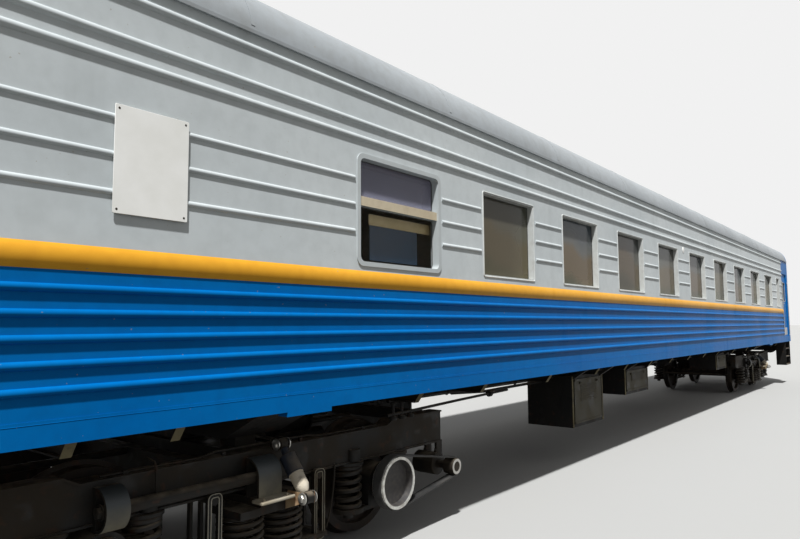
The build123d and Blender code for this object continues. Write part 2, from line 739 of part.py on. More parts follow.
def crossbar(x):
    """I-shaped cross bar of the floor, with tapered ends that run out under the side beams."""
    top = FLOOR_Z
    inner_y, foot_y = LINING_Y - SILL_BEAM_WIDTH - SEAT_GAP, LINING_Y - CROSSBAR_TAPER
    under_z = SILL_Z - SEAT_GAP
    half_line = [(inner_y, top), (inner_y, under_z), (LINING_Y, under_z), (foot_y, CROSSBAR_Z)]
    outline = make_face(Polyline(*half_line, *((-y, z) for y, z in reversed(half_line)), close=True))
    above = Pos(0, CROSSBAR_FLANGE) * outline
    web = prism(outline, (x - CROSSBAR_WEB / 2, x + CROSSBAR_WEB / 2))
    return joined(web, prism(outline - above, (x - CROSSBAR_WIDTH / 2, x + CROSSBAR_WIDTH / 2)))


def body_end_frame():
    """Body bolster, centre sill and headstock at +X, with the centre plate and its pin."""
    top = FLOOR_Z
    inner_y = LINING_Y - SILL_BEAM_WIDTH - SEAT_GAP
    bearer_y = SIDE_BEARER_Y + SIDE_BEARER_SIZE
    half_line = [(inner_y, top), (inner_y, SILL_Z), (bearer_y, BODY_BOLSTER_Z)]
    outline = make_face(Polyline(*half_line, *((-y, z) for y, z in reversed(half_line)), close=True))
    bolster = prism(outline, (PIVOT_X - BODY_BOLSTER_WIDTH / 2, PIVOT_X + BODY_BOLSTER_WIDTH / 2))
    half_sill = CENTRE_SILL_WIDTH / 2
    sill_span = (PIVOT_X - CENTRE_SILL_INNER_REACH, INNER_END_X - HEADSTOCK_THICKNESS / 2)
    centre_sill = block(sill_span, (-half_sill, half_sill), (CENTRE_SILL_Z, top))
    head_x = INNER_END_X - HEADSTOCK_THICKNESS
    headstock = block(
        (head_x, BODY_END_X - END_WALL_THICKNESS / 2),
        (-LINING_Y, LINING_Y),
        (HEADSTOCK_Z, SILL_Z - SEAT_GAP),
    )
    web = block((head_x, INNER_END_X - SEAT_GAP), (-inner_y, inner_y), (HEADSTOCK_Z, top))
    plate = rod("z", (CENTRE_BOWL_TOP_Z + SEAT_GAP, BODY_BOLSTER_Z + 1), (PIVOT_X, 0), CENTRE_BOWL_RADIUS)
    pin = rod("z", (BOLSTER_TOP_Z, BODY_BOLSTER_Z), (PIVOT_X, 0), SWIVEL_PIN_RADIUS)
    outer_bars = [crossbar(PIVOT_X + reach) for reach in OUTER_CROSSBARS]
    return joined(bolster, centre_sill, headstock, web, plate, pin, *outer_bars)


def underframe():
    """Floor frame between the ends: side beams, cross bars and hanging rails."""
    side = block((-INNER_END_X, INNER_END_X), (LINING_Y - SILL_BEAM_WIDTH, LINING_Y), (SILL_Z, FLOOR_Z))
    sill_inner_x = PIVOT_X - CENTRE_SILL_INNER_REACH
    bars = [x for x in MIDDLE_CROSSBARS if x < sill_inner_x - CROSSBAR_WIDTH]
    rail = block(
        (-bars[-1], bars[-1]),
        (BEARER_Y - BEARER_WIDTH / 2, BEARER_Y + BEARER_WIDTH / 2),
        (BEARER_LOW_Z, CROSSBAR_Z - SEAT_GAP),
    )
    places = sorted({end * x for x in bars for end in (-1, 1)})
    return [*both_sides(side), *(crossbar(x) for x in places), *both_sides(rail)]


def buffer():
    """Side buffer at +X, +Y: stepped housing, plunger and round head."""
    start = BODY_END_X - END_WALL_THICKNESS / 2
    face = BODY_END_X + BUFFER_REACH
    housing_end = start + BUFFER_HOUSING_LENGTH
    flange_end = start + BUFFER_HEAD_THICKNESS
    line = [
        (start, 0),
        (start, BUFFER_HOUSING_RADIUS + BUFFER_HEAD_THICKNESS),
        (flange_end, BUFFER_HOUSING_RADIUS + BUFFER_HEAD_THICKNESS),
        (flange_end, BUFFER_HOUSING_RADIUS),
        (housing_end, BUFFER_HOUSING_RADIUS),
        (housing_end, BUFFER_PLUNGER_RADIUS),
        (face - 2 * BUFFER_HEAD_THICKNESS, BUFFER_PLUNGER_RADIUS),
        (face - BUFFER_HEAD_THICKNESS, BUFFER_HEAD_RADIUS),
        (face, BUFFER_HEAD_RADIUS),
        (face, 0),
    ]
    return Pos(0, BUFFER_Y, COUPLER_Z) * revolve(make_face(Polyline(*line, close=True)), Axis.X)


def coupler():
    """Automatic coupler at +X: shank, head block, large and small claw."""
    tip = BODY_END_X + COUPLER_REACH
    back = tip - COUPLER_HEAD_LENGTH
    half_width, half_height = COUPLER_SHANK_WIDTH / 2, COUPLER_SHANK_HEIGHT / 2
    shank = block(
        (BODY_END_X - END_WALL_THICKNESS / 2, back + half_width),
        (-half_width, half_width),
        (COUPLER_Z - half_height, COUPLER_Z + half_height),
    )
    # Head outline, as distance back from the tip and y
    outline = (
        (COUPLER_HEAD_LENGTH, -150),
        (160, -190),
        (0, -175),
        (0, -95),
        (130, -40),
        (150, 70),
        (60, 120),
        (40, 200),
        (150, 215),
        (COUPLER_HEAD_LENGTH, 140),
    )
    claws = make_face(Polyline(*((tip - reach, y) for reach, y in outline), close=True))
    head = Pos(0, 0, COUPLER_Z - COUPLER_HEAD_HEIGHT / 2) * extrude(claws, COUPLER_HEAD_HEIGHT)
    tips = head.edges().filter_by(Axis.Z).sort_by(Axis.X)[-2:]
    return joined(shank, chamfer(tips, BUFFER_HEAD_THICKNESS))


def gangway_bellows():
    """Rubber tube gaiter round the gangway on its mounting rail, at +X."""
    centre_x = BODY_END_X + BELLOWS_REACH - BELLOWS_RADIUS
    path = Polyline(
        (centre_x, -BELLOWS_Y, FLOOR_Z),
        (centre_x, -BELLOWS_Y, BELLOWS_TOP_Z),
        (centre_x, BELLOWS_Y, BELLOWS_TOP_Z),
        (centre_x, BELLOWS_Y, FLOOR_Z),
    )
    ring = Plane(origin=(centre_x, -BELLOWS_Y, FLOOR_Z), z_dir=(0, 0, 1)) * Circle(BELLOWS_RADIUS)
    tube = sweep(ring, path=path, transition=Transition.RIGHT)
    rail_half = BELLOWS_RADIUS / 3
    x_span = (BODY_END_X, centre_x)
    rail = block(
        x_span,
        (-BELLOWS_Y - rail_half, BELLOWS_Y + rail_half),
        (FLOOR_Z, BELLOWS_TOP_Z + rail_half),
    )
    rail -= block(
        (x_span[0] - 1, x_span[1] + 1),
        (-BELLOWS_Y + rail_half, BELLOWS_Y - rail_half),
        (FLOOR_Z - 1, BELLOWS_TOP_Z - rail_half),
    )
    return joined(tube, rail)


def entry_steps():
    """Hanging steps under the entrance door at +X, +Y."""
    x_span = (DOOR_LOW_X + DOOR_GAP, DOOR_LOW_X + DOOR_WIDTH - DOOR_GAP)
    outer_y = SHEET_Y
    treads = [
        block(
            x_span,
            (outer_y - STEP_DEPTH, outer_y),
            (STEP_LOW_Z + STEP_RISE * i, STEP_LOW_Z + STEP_RISE * i + STEP_THICKNESS),
        )
        for i in range(STEP_COUNT)
    ]
    sides = [
        block(
            (x, x + STEP_SIDE), (outer_y - STEP_DEPTH, outer_y), (STEP_LOW_Z, SILL_Z - SEAT_GAP)
        )
        for x in (x_span[0], x_span[1] - STEP_SIDE)
    ]
    return joined(*treads, *sides)


def underfloor_boxes():
    """Battery and equipment boxes with a raised lid, on straps from the side beam and a rail."""
    boxes = []
    beam_y = LINING_Y - SILL_BEAM_WIDTH / 2
    for x, length, side, near_y, depth, low_z in UNDERFLOOR_BOXES:
        x_low, x_high = x - length / 2, x + length / 2
        body = block((x_low, x_high), (near_y - depth, near_y), (low_z, BOX_TOP_Z))
        lid = block(
            (x_low + BOX_LID_MARGIN, x_high - BOX_LID_MARGIN),
            (near_y - 1, near_y + BOX_LID_DEPTH),
            (low_z + BOX_LID_MARGIN, BOX_TOP_Z - BOX_LID_MARGIN),
        )
        strap_line = Polyline(
            (near_y - BOX_STRAP_INSET, BOX_TOP_Z - BOX_LID_MARGIN),
            (near_y - BOX_STRAP_INSET, BOX_TOP_Z),
            (beam_y, SILL_Z - SEAT_GAP),
            (LINING_Y, SILL_Z - SEAT_GAP),
            (near_y, BOX_TOP_Z - BOX_LID_MARGIN),
            close=True,
        )
        straps = []
        for strap_x in (x_low + BOX_STRAP_INSET, x_high - BOX_STRAP_INSET - BOX_STRAP_WIDTH):
            span = (strap_x, strap_x + BOX_STRAP_WIDTH)
            straps.append(prism(make_face(strap_line), span))
            foot_z = (BEARER_LOW_Z - BOX_STRAP_INSET, BEARER_LOW_Z - SEAT_GAP)
            straps.append(block(span, (BEARER_Y - BEARER_WIDTH / 2, near_y - depth + 1), foot_z))
        box = joined(body, lid, *straps)
        boxes.append(box if side > 0 else across(box))
    return boxes


def air_tanks():
    """Air reservoirs with dished ends on their straps, under the hanging rails."""
    tanks = []
    for x, side, radius, length in AIR_TANKS:
        y, z = side * BEARER_Y, BEARER_LOW_Z - TANK_DROP - radius
        shell = rod("x", (x - length / 2, x + length / 2), (y, z), radius)
        shell = chamfer(shell.edges().filter_by(GeomType.CIRCLE), radius / 3)
        half = TANK_STRAP_WIDTH / 2
        straps = [
            block((sx - half, sx + half), (y - radius / 2, y + radius / 2), (z, BEARER_LOW_Z - SEAT_GAP))
            for sx in (x - length / 4, x + length / 4)
        ]
        tanks.append(joined(shell, *straps))
    return tanks


def roof_vents():
    """Low round ventilators and the boiler flue on the crown of the roof."""
    foot = (Align.CENTER, Align.CENTER, Align.MIN)
    base_z = CROWN_Z - VENT_SINK
    cap = Cone(VENT_RADIUS, VENT_TOP_RADIUS, VENT_HEIGHT, align=foot)
    vents = [Pos(x, 0, base_z) * cap for x in VENT_XS]
    vents.append(Pos(FLUE_X, 0, base_z) * Cylinder(FLUE_RADIUS, VENT_HEIGHT, align=foot))
    crown = prism(body_section(-SEAT_GAP, SILL_Z), (-INNER_END_X, INNER_END_X))
    return [vent - crown for vent in vents]


# Wheelsets


def wheelset():
    """Axle with its two wheels, about its own centre."""
    back = BACK_TO_BACK / 2
    front = back + RIM_WIDTH
    tip = WHEEL_RADIUS + FLANGE_HEIGHT
    web_y = back + RIM_WIDTH / 2
    hub_low, hub_high = web_y - HUB_LENGTH / 2, web_y + HUB_LENGTH / 2
    journal_low, journal_high = JOURNAL_Y - JOURNAL_LENGTH / 2, JOURNAL_Y + JOURNAL_LENGTH / 2
    tip_back = back + (FLANGE_THICKNESS - FLANGE_TIP_WIDTH) / 2
    # Radius and y round the wheel, from the hub's inner end over the flange and tread and back
    line = (
        (AXLE_RADIUS, hub_low),
        (HUB_RADIUS, hub_low),
        (HUB_RADIUS, web_y + HUB_OFFSET),
        (RIM_INNER_RADIUS, web_y - WEB_THICKNESS / 2),
        (RIM_INNER_RADIUS, back),
        (tip - FLANGE_BACK_RISE, back),
        (tip, tip_back),
        (tip, tip_back + FLANGE_TIP_WIDTH),
        (WHEEL_RADIUS, back + FLANGE_THICKNESS),
        (WHEEL_RADIUS - TREAD_CONE, front),
        (RIM_INNER_RADIUS, front),
        (RIM_INNER_RADIUS, web_y + WEB_THICKNESS / 2),
        (HUB_RADIUS, web_y + HUB_OFFSET + WEB_THICKNESS),
        (HUB_RADIUS, hub_high),
        (AXLE_RADIUS, hub_high),
    )
    wheel = revolve(make_face(Polyline(*line, close=True)), Axis.Y)
    half_axle = [(0, journal_high), (JOURNAL_RADIUS, journal_high)]
    half_axle += [(JOURNAL_RADIUS, journal_low), (AXLE_RADIUS, hub_high)]
    axle_line = [*half_axle, *((r, -y) for r, y in reversed(half_axle))]
    axle = revolve(make_face(Polyline(*axle_line, close=True)), Axis.Y)
    return joined(axle, *both_sides(wheel))


def pulley():
    """Grooved belt pulley on the axle end, dished on its outer side, on the -Y side."""
    inner_y = PULLEY_OUTER_Y - PULLEY_WIDTH
    pitch = (PULLEY_WIDTH - PULLEY_LAND) / PULLEY_GROOVES
    line = [(0, inner_y), (PULLEY_RADIUS, inner_y)]
    for i in range(PULLEY_GROOVES):
        start = inner_y + PULLEY_LAND + pitch * i
        end = start + pitch - PULLEY_LAND
        line += [(PULLEY_RADIUS, start)]
        line += [(PULLEY_RADIUS - PULLEY_GROOVE_DEPTH, (start + end) / 2), (PULLEY_RADIUS, end)]
    line += [
        (PULLEY_RADIUS, PULLEY_OUTER_Y),
        (PULLEY_RADIUS - PULLEY_RIM_WALL, PULLEY_OUTER_Y),
        (PULLEY_RADIUS - PULLEY_RIM_WALL - PULLEY_GROOVE_DEPTH, PULLEY_OUTER_Y - PULLEY_DISH),
        (0, PULLEY_OUTER_Y - PULLEY_DISH - PULLEY_PLATE),
    ]
    disc = revolve(make_face(Polyline(*line, close=True)), Axis.Y)
    stub_start = JOURNAL_Y + JOURNAL_LENGTH / 2
    stub = rod("y", (stub_start, inner_y + 1), (0, 0), JOURNAL_RADIUS - RUNNING_GAP)
    return across(joined(disc, stub))


# Bogie


def spring(radius, low_z, high_z, turns, x, y):
    """Coil spring as a stack of many-sided turns, one loft from seat to seat."""
    wire = (high_z - low_z) / turns
    waist = radius - wire / 4
    rings = []
    for i in range(turns):
        base = low_z + wire * i
        rings += [(waist, base), (radius, base + wire / 2)]
    rings.append((waist, high_z))
    sections = [Pos(x, y, z) * RegularPolygon(r, SPRING_SIDES) for r, z in rings]
    return loft(sections, ruled=True)


def beam_outline():
    """Side view of a side beam: level underneath, with ends that stand higher than the middle."""
    half, step = FRAME_HALF_LENGTH, BEAM_STEP_X
    top = [(step, BEAM_TOP_Z), (step + BEAM_STEP_RUN, BEAM_END_TOP_Z), (half, BEAM_END_TOP_Z)]
    line = [*((-x, z) for x, z in reversed(top)), *top, (half, BEAM_LOW_Z), (-half, BEAM_LOW_Z)]
    return make_face(Polyline(*line, close=True))


def bogie_frame():
    """Two side beams, two transoms and two headstocks, with hoop, spring and hanger brackets."""
    outline = beam_outline()
    inside = outline & (Pos(0, -BEAM_FLANGE) * outline) & (Pos(0, BEAM_FLANGE) * outline)
    beam = joined(
        side_plate(outline, (WEB_INNER_Y, WEB_OUTER_Y)),
        side_plate(outline - inside, (BEAM_INNER_Y, BEAM_OUTER_Y)),
    )
    transom = block(
        (TRANSOM_X - TRANSOM_WIDTH / 2, TRANSOM_X + TRANSOM_WIDTH / 2),
        (-WEB_INNER_Y - 1, WEB_INNER_Y + 1),
        (TRANSOM_LOW_Z, TRANSOM_TOP_Z),
    )
    headstock = block(
        (FRAME_HALF_LENGTH - HEADSTOCK_WIDTH, FRAME_HALF_LENGTH - BEAM_FLANGE),
        (-WEB_INNER_Y - 1, WEB_INNER_Y + 1),
        (BEAM_END_TOP_Z - BEAM_FLANGE - HEADSTOCK_HEIGHT, BEAM_END_TOP_Z - BEAM_FLANGE),
    )
    hanger_reach = HANGER_CLEARANCE + HANGER_DEPTH
    peg_y = (BEAM_INNER_Y - hanger_reach, BEAM_OUTER_Y + hanger_reach)
    peg_z = HANGER_TOP_Z - HANGER_BAR - HANGER_WIDTH / 4 - SEAT_GAP
    pegs = [rod("y", peg_y, (x, peg_z), HANGER_WIDTH / 4) for x in (-HANGER_X, HANGER_X)]
    spring_xs = [axle_x + dx for axle_x in AXLE_XS for dx in (-AXLE_SPRING_X, AXLE_SPRING_X)]
    cup_radius = AXLE_SPRING_RADIUS + SPRING_CUP_LIP
    cups = [rod("z", (AXLE_SPRING_TOP_Z, BEAM_LOW_Z + 1), (x, JOURNAL_Y), cup_radius) for x in spring_xs]
    boss_z = (BEAM_LOW_Z + BEAM_FLANGE, BEAM_LOW_Z + BEAM_FLANGE + GUIDE_BOSS_HEIGHT)
    bosses = [rod("z", boss_z, (x, WEB_OUTER_Y), GUIDE_BOSS_RADIUS) for x in spring_xs[1:3]]
    hoop_x = (FRAME_HOOP_X - HOOP_WIDTH / 2, FRAME_HOOP_X + HOOP_WIDTH / 2)
    backing = block(hoop_x, (WEB_OUTER_Y - 1, HOOP_BASE_Y), (ROD_Z - HOOP_RADIUS, ROD_Z + HOOP_RADIUS))
    lugs = eye_lugs(WEB_OUTER_Y - 1, DAMPER_TOP_Y, DAMPER_TOP_Z)
    near = across(joined(backing, half_hoop(hoop_x), *lugs))
    cross = [transom, mirror(transom, about=Plane.YZ), headstock, mirror(headstock, about=Plane.YZ)]
    repeats = [copy for piece in (beam, *pegs, *cups, *bosses) for copy in both_sides(piece)]
    return joined(*repeats, *cross, near, turned(near))


def half_hoop(x_span):
    """Curved strap that stands out from its backing plate round the leash rod."""
    ring = Circle(HOOP_RADIUS) - Circle(HOOP_INNER_RADIUS)
    outboard = Pos(HOOP_RADIUS / 2, 0) * Rectangle(HOOP_RADIUS, 2 * HOOP_RADIUS)
    return prism(Pos(HOOP_BASE_Y, ROD_Z) * (ring & outboard), x_span)


def rod_hood(x_span):
    """Strap that bends out over the leash rod's end and stands with its foot on the bolster."""
    drop = ROD_Z - BOLSTER_END_TOP_Z
    ring = Circle(HOOP_RADIUS) - Circle(HOOP_INNER_RADIUS)
    bend = ring & (Pos(HOOP_RADIUS / 2, HOOP_RADIUS / 2) * Rectangle(HOOP_RADIUS, HOOP_RADIUS))
    leg = Pos(HOOP_RADIUS - HOOP_THICKNESS / 2, -drop / 2) * Rectangle(HOOP_THICKNESS, drop + 1)
    foot = block(
        (x_span[0] - HOOP_THICKNESS, x_span[1] + HOOP_THICKNESS),
        (BOLSTER_END_Y - 2 * HOOP_THICKNESS, BOLSTER_END_Y + HOOD_FOOT),
        (BOLSTER_END_TOP_Z - 1, BOLSTER_END_TOP_Z + HOOP_THICKNESS),
    )
    return joined(prism(Pos(HOOP_BASE_Y, ROD_Z) * (bend + leg), x_span), foot)


def eye_lugs(base_y, eye_y, eye_z):
    """Two cheek plates that hold a damper eye, out from base_y."""
    half = DAMPER_EYE_WIDTH / 2 + SEAT_GAP
    return [
        block(
            (x, x + LUG_THICKNESS),
            (base_y, eye_y + DAMPER_EYE_RADIUS / 2),
            (eye_z - DAMPER_EYE_RADIUS, eye_z + DAMPER_EYE_RADIUS),
        )
        for x in (DAMPER_X - half - LUG_THICKNESS, DAMPER_X + half)
    ]


def bogie_bolster():
    """Cross beam on the bolster springs, with the centre bowl, side bearers and rod hoods."""
    deck_y = BEAM_INNER_Y - BOLSTER_SLOPE
    line = Polyline(
        (-BOLSTER_END_Y, BOLSTER_END_Z),
        (BOLSTER_END_Y, BOLSTER_END_Z),
        (BOLSTER_END_Y, BOLSTER_END_TOP_Z),
        (deck_y, BOLSTER_END_TOP_Z),
        (deck_y - BOLSTER_SLOPE, BOLSTER_TOP_Z),
        (BOLSTER_SLOPE - deck_y, BOLSTER_TOP_Z),
        (-deck_y, BOLSTER_END_TOP_Z),
        (-BOLSTER_END_Y, BOLSTER_END_TOP_Z),
        close=True,
    )
    beam = prism(make_face(line), (-BOLSTER_WIDTH / 2, BOLSTER_WIDTH / 2))
    seat_half = BOLSTER_SPRING_X + BOLSTER_SPRING_RADIUS
    seat = block(
        (-seat_half, seat_half),
        (JOURNAL_Y - BOLSTER_SPRING_RADIUS, BOLSTER_END_Y),
        (BOLSTER_END_Z, BOLSTER_END_Z + BOLSTER_END_THICKNESS / 2),
    )
    bowl = rod("z", (BOLSTER_TOP_Z - 1, CENTRE_BOWL_TOP_Z), (0, 0), CENTRE_BOWL_RADIUS)
    bearer = block(
        (-SIDE_BEARER_SIZE / 2, SIDE_BEARER_SIZE / 2),
        (SIDE_BEARER_Y - SIDE_BEARER_SIZE / 2, SIDE_BEARER_Y + SIDE_BEARER_SIZE / 2),
        (BOLSTER_TOP_Z - 1, BODY_BOLSTER_Z - SIDE_BEARER_CLEARANCE),
    )
    hood_x = (HOOD_X - HOOD_WIDTH / 2, HOOD_X + HOOD_WIDTH / 2)
    upright = block(
        hood_x, (HOOP_BASE_Y - HOOP_THICKNESS, HOOP_BASE_Y), (BOLSTER_END_TOP_Z - 1, ROD_Z + HOOP_RADIUS)
    )
    lugs = eye_lugs(BOLSTER_END_Y - 1, DAMPER_BOTTOM_Y, DAMPER_BOTTOM_Z)
    near = across(joined(upright, rod_hood(hood_x), *lugs))
    hole = rod("z", (BOLSTER_END_Z, CENTRE_BOWL_TOP_Z + 1), (0, 0), SWIVEL_PIN_RADIUS + RUNNING_GAP)
    return joined(beam, *both_sides(seat), bowl, *both_sides(bearer), near, turned(near)) - hole


def bogie_springs():
    """Axle springs on the box wings and bolster springs on the pans."""
    springs = []
    for axle_x in AXLE_XS:
        for x in (axle_x - AXLE_SPRING_X, axle_x + AXLE_SPRING_X):
            seats = (WING_TOP_Z, AXLE_SPRING_TOP_Z)
            coil = spring(AXLE_SPRING_RADIUS, *seats, AXLE_SPRING_TURNS, x, JOURNAL_Y)
            springs += both_sides(coil)
    for x in (-BOLSTER_SPRING_X, BOLSTER_SPRING_X):
        coil = spring(BOLSTER_SPRING_RADIUS, PAN_TOP_Z, BOLSTER_END_Z, BOLSTER_SPRING_TURNS, x, JOURNAL_Y)
        springs += both_sides(coil)
    return springs


def axlebox(axle_x, open_end):
    """Journal box with its two spring wings, on the +Y side; open_end lets the axle through."""
    low, high = JOURNAL_Y - AXLEBOX_LENGTH / 2, JOURNAL_Y + AXLEBOX_LENGTH / 2
    place = (axle_x, AXLE_Z)
    y_span = (JOURNAL_Y - WING_WIDTH / 2, JOURNAL_Y + WING_WIDTH / 2)
    barrel = rod("y", (low, high), place, AXLEBOX_RADIUS)
    cover = rod("y", (high - 1, high + AXLEBOX_COVER), place, AXLEBOX_RADIUS - AXLEBOX_COVER)
    # Saddle that widens from the barrel down to the wings
    saddle = Polyline(
        (axle_x - AXLEBOX_RADIUS, AXLE_Z),
        (axle_x - AXLEBOX_RADIUS, WING_TOP_Z),
        (axle_x + AXLEBOX_RADIUS, WING_TOP_Z),
        (axle_x + AXLEBOX_RADIUS, AXLE_Z),
        close=True,
    )
    wing = block((axle_x - AXLE_SPRING_X, axle_x + AXLE_SPRING_X), y_span, (WING_Z, WING_TOP_Z))
    tips = []
    for x in (axle_x - AXLE_SPRING_X, axle_x + AXLE_SPRING_X):
        tips.append(rod("z", (WING_Z, WING_TOP_Z), (x, JOURNAL_Y), AXLE_SPRING_RADIUS + SPRING_CUP_LIP))
        tips.append(rod("z", (WING_Z - GUIDE_NUT_HEIGHT, WING_Z + 1), (x, JOURNAL_Y), GUIDE_NUT_RADIUS))
    bore_end = high + AXLEBOX_COVER + 1 if open_end else JOURNAL_Y + JOURNAL_LENGTH / 2 + SEAT_GAP
    bore = rod("y", (low - 1, bore_end), place, JOURNAL_RADIUS + RUNNING_GAP)
    return joined(barrel, cover, side_plate(make_face(saddle), y_span), wing, *tips) - bore


def axleboxes(drive_axle):
    """The four boxes of a bogie; drive_axle is the axle that carries the pulley, if any."""
    boxes = []
    for i, axle_x in enumerate(AXLE_XS):
        boxes += [axlebox(axle_x, False), across(axlebox(axle_x, i == drive_axle))]
    return boxes


def swing_gear():
    """Spring pan on its four long hangers, each side of the bogie."""
    pan = block(
        (-PAN_LENGTH / 2, PAN_LENGTH / 2),
        (JOURNAL_Y - PAN_WIDTH / 2, JOURNAL_Y + PAN_WIDTH / 2),
        (PAN_Z, PAN_TOP_Z),
    )
    low_z = PAN_Z - HANGER_BAR
    height, corner = HANGER_TOP_Z - low_z, HANGER_WIDTH / 3
    slot = RectangleRounded(HANGER_WIDTH - 2 * HANGER_BAR, height - 2 * HANGER_BAR, corner / 2)
    shape = Pos(0, low_z + height / 2) * (RectangleRounded(HANGER_WIDTH, height, corner) - slot)
    links = [
        side_plate(Pos(x, 0) * shape, (y, y + HANGER_DEPTH))
        for x in (-HANGER_X, HANGER_X)
        for y in (BEAM_OUTER_Y + HANGER_CLEARANCE, BEAM_INNER_Y - HANGER_CLEARANCE - HANGER_DEPTH)
    ]
    return both_sides(joined(pan, *links))


def leash_rod():
    """Leash rod between the frame hoop and the bolster hood, with its rubber bushes, on -Y."""
    x_span = (FRAME_HOOP_X - HOOP_WIDTH / 2, HOOD_X + HOOD_WIDTH / 2)
    shaft = rod("x", x_span, (ROD_Y, ROD_Z), ROD_RADIUS)
    bushes = [
        rod("x", (x - ROD_BUSH_LENGTH / 2, x + ROD_BUSH_LENGTH / 2), (ROD_Y, ROD_Z), ROD_BUSH_RADIUS)
        for x in (FRAME_HOOP_X, HOOD_X)
    ]
    return across(joined(shaft, *bushes))


def damper():
    """Inclined hydraulic damper with its eyes, on the -Y side."""
    top = Vector(DAMPER_X, DAMPER_TOP_Y, DAMPER_TOP_Z)
    bottom = Vector(DAMPER_X, DAMPER_BOTTOM_Y, DAMPER_BOTTOM_Z)
    along = (top - bottom).normalized()
    low, high = bottom + along * DAMPER_NECK, top - along * DAMPER_NECK
    middle = low + along * DAMPER_BODY_LENGTH
    half = DAMPER_EYE_WIDTH / 2
    eye_x = (DAMPER_X - half, DAMPER_X + half)
    eyes = [rod("x", eye_x, (end.Y, end.Z), DAMPER_EYE_RADIUS) for end in (top, bottom)]
    tubes = [
        strut(bottom, top, DAMPER_PIN_RADIUS),
        strut(low, middle, DAMPER_RADIUS),
        strut(middle, high, DAMPER_SLEEVE_RADIUS),
    ]
    return across(joined(*tubes, *eyes))


def brake_gear():
    """Shoes, hangers and cross beams of the clasp brake on every wheel."""
    y_mid = BACK_TO_BACK / 2 + RIM_WIDTH / 2 + SHOE_OFFSET
    inner_r = WHEEL_RADIUS + SHOE_CLEARANCE
    outer_r = inner_r + SHOE_THICKNESS
    pieces = []
    for axle_x in AXLE_XS:
        for side in (-1, 1):
            ring = Pos(axle_x, AXLE_Z) * (Circle(outer_r) - Circle(inner_r))
            reach = outer_r * sin(radians(SHOE_HALF_ANGLE))
            window = Pos(axle_x + side * outer_r, AXLE_Z) * Rectangle(outer_r, 2 * reach)
            shoe = side_plate(ring & window, (y_mid - SHOE_WIDTH / 2, y_mid + SHOE_WIDTH / 2))
            x = axle_x + side * (outer_r + BRAKE_HANGER_THICKNESS / 2 - SHOE_SEAT)
            hanger = block(
                (x - BRAKE_HANGER_THICKNESS / 2, x + BRAKE_HANGER_THICKNESS / 2),
                (y_mid - SHOE_WIDTH / 4, y_mid + SHOE_WIDTH / 4),
                (AXLE_Z - BRAKE_HANGER_TAIL, BRAKE_HANGER_TOP_Z + BRAKE_PIN_RADIUS),
            )
            pin = rod("y", (y_mid, WEB_INNER_Y), (x, BRAKE_HANGER_TOP_Z), BRAKE_PIN_RADIUS)
            cross = rod("y", (-y_mid, y_mid), (x, AXLE_Z - BRAKE_BEAM_DROP), BRAKE_BEAM_RADIUS)
            pieces.append(joined(cross, *(p for part in (shoe, hanger, pin) for p in both_sides(part))))
    return pieces


def drive_gearbox():
    """Bracket on the end of the bogie frame with the driven pulley and its bevel gearbox, on -Y."""
    wall = DRIVE_BRACKET_THICKNESS
    plate_line = Polyline(
        (FRAME_HALF_LENGTH - DRIVE_BRACKET_LENGTH, BEAM_LOW_Z - SEAT_GAP),
        (FRAME_HALF_LENGTH - DRIVE_BRACKET_LENGTH, BEAM_LOW_Z - DRIVE_BRACKET_FLANGE),
        (DRIVEN_X - DRIVEN_RADIUS, DRIVEN_Z - DRIVEN_RADIUS / 2),
        (DRIVEN_X, DRIVEN_Z - DRIVEN_RADIUS - wall),
        (DRIVEN_X + DRIVEN_RADIUS + wall, DRIVEN_Z),
        (FRAME_HALF_LENGTH, BEAM_LOW_Z - SEAT_GAP),
        close=True,
    )
    plate = side_plate(make_face(plate_line), (BEAM_OUTER_Y - wall, BEAM_OUTER_Y))
    plate += side_plate(make_face(plate_line), (BEAM_INNER_Y, BEAM_INNER_Y + wall))
    inward, outward = DRIVE_CASE_REACH
    case_span = (BEAM_INNER_Y - inward, BEAM_OUTER_Y + outward)
    shaft = (DRIVEN_X, DRIVEN_Z)
    inner_y = PULLEY_OUTER_Y - PULLEY_WIDTH
    case = rod("y", case_span, shaft, DRIVEN_RADIUS + DRIVE_CASE_MARGIN)
    neck = rod("y", (BEAM_OUTER_Y, inner_y + 1), shaft, DRIVEN_RADIUS / 2)
    wheel = rod("y", (inner_y, PULLEY_OUTER_Y), shaft, DRIVEN_RADIUS)
    output_x = (DRIVEN_X, DRIVEN_X + DRIVE_SHAFT_REACH)
    flange = rod("x", output_x, (BEAM_INNER_Y, DRIVEN_Z), DRIVEN_RADIUS - wall)
    return across(joined(plate, case, neck, wheel, flange))


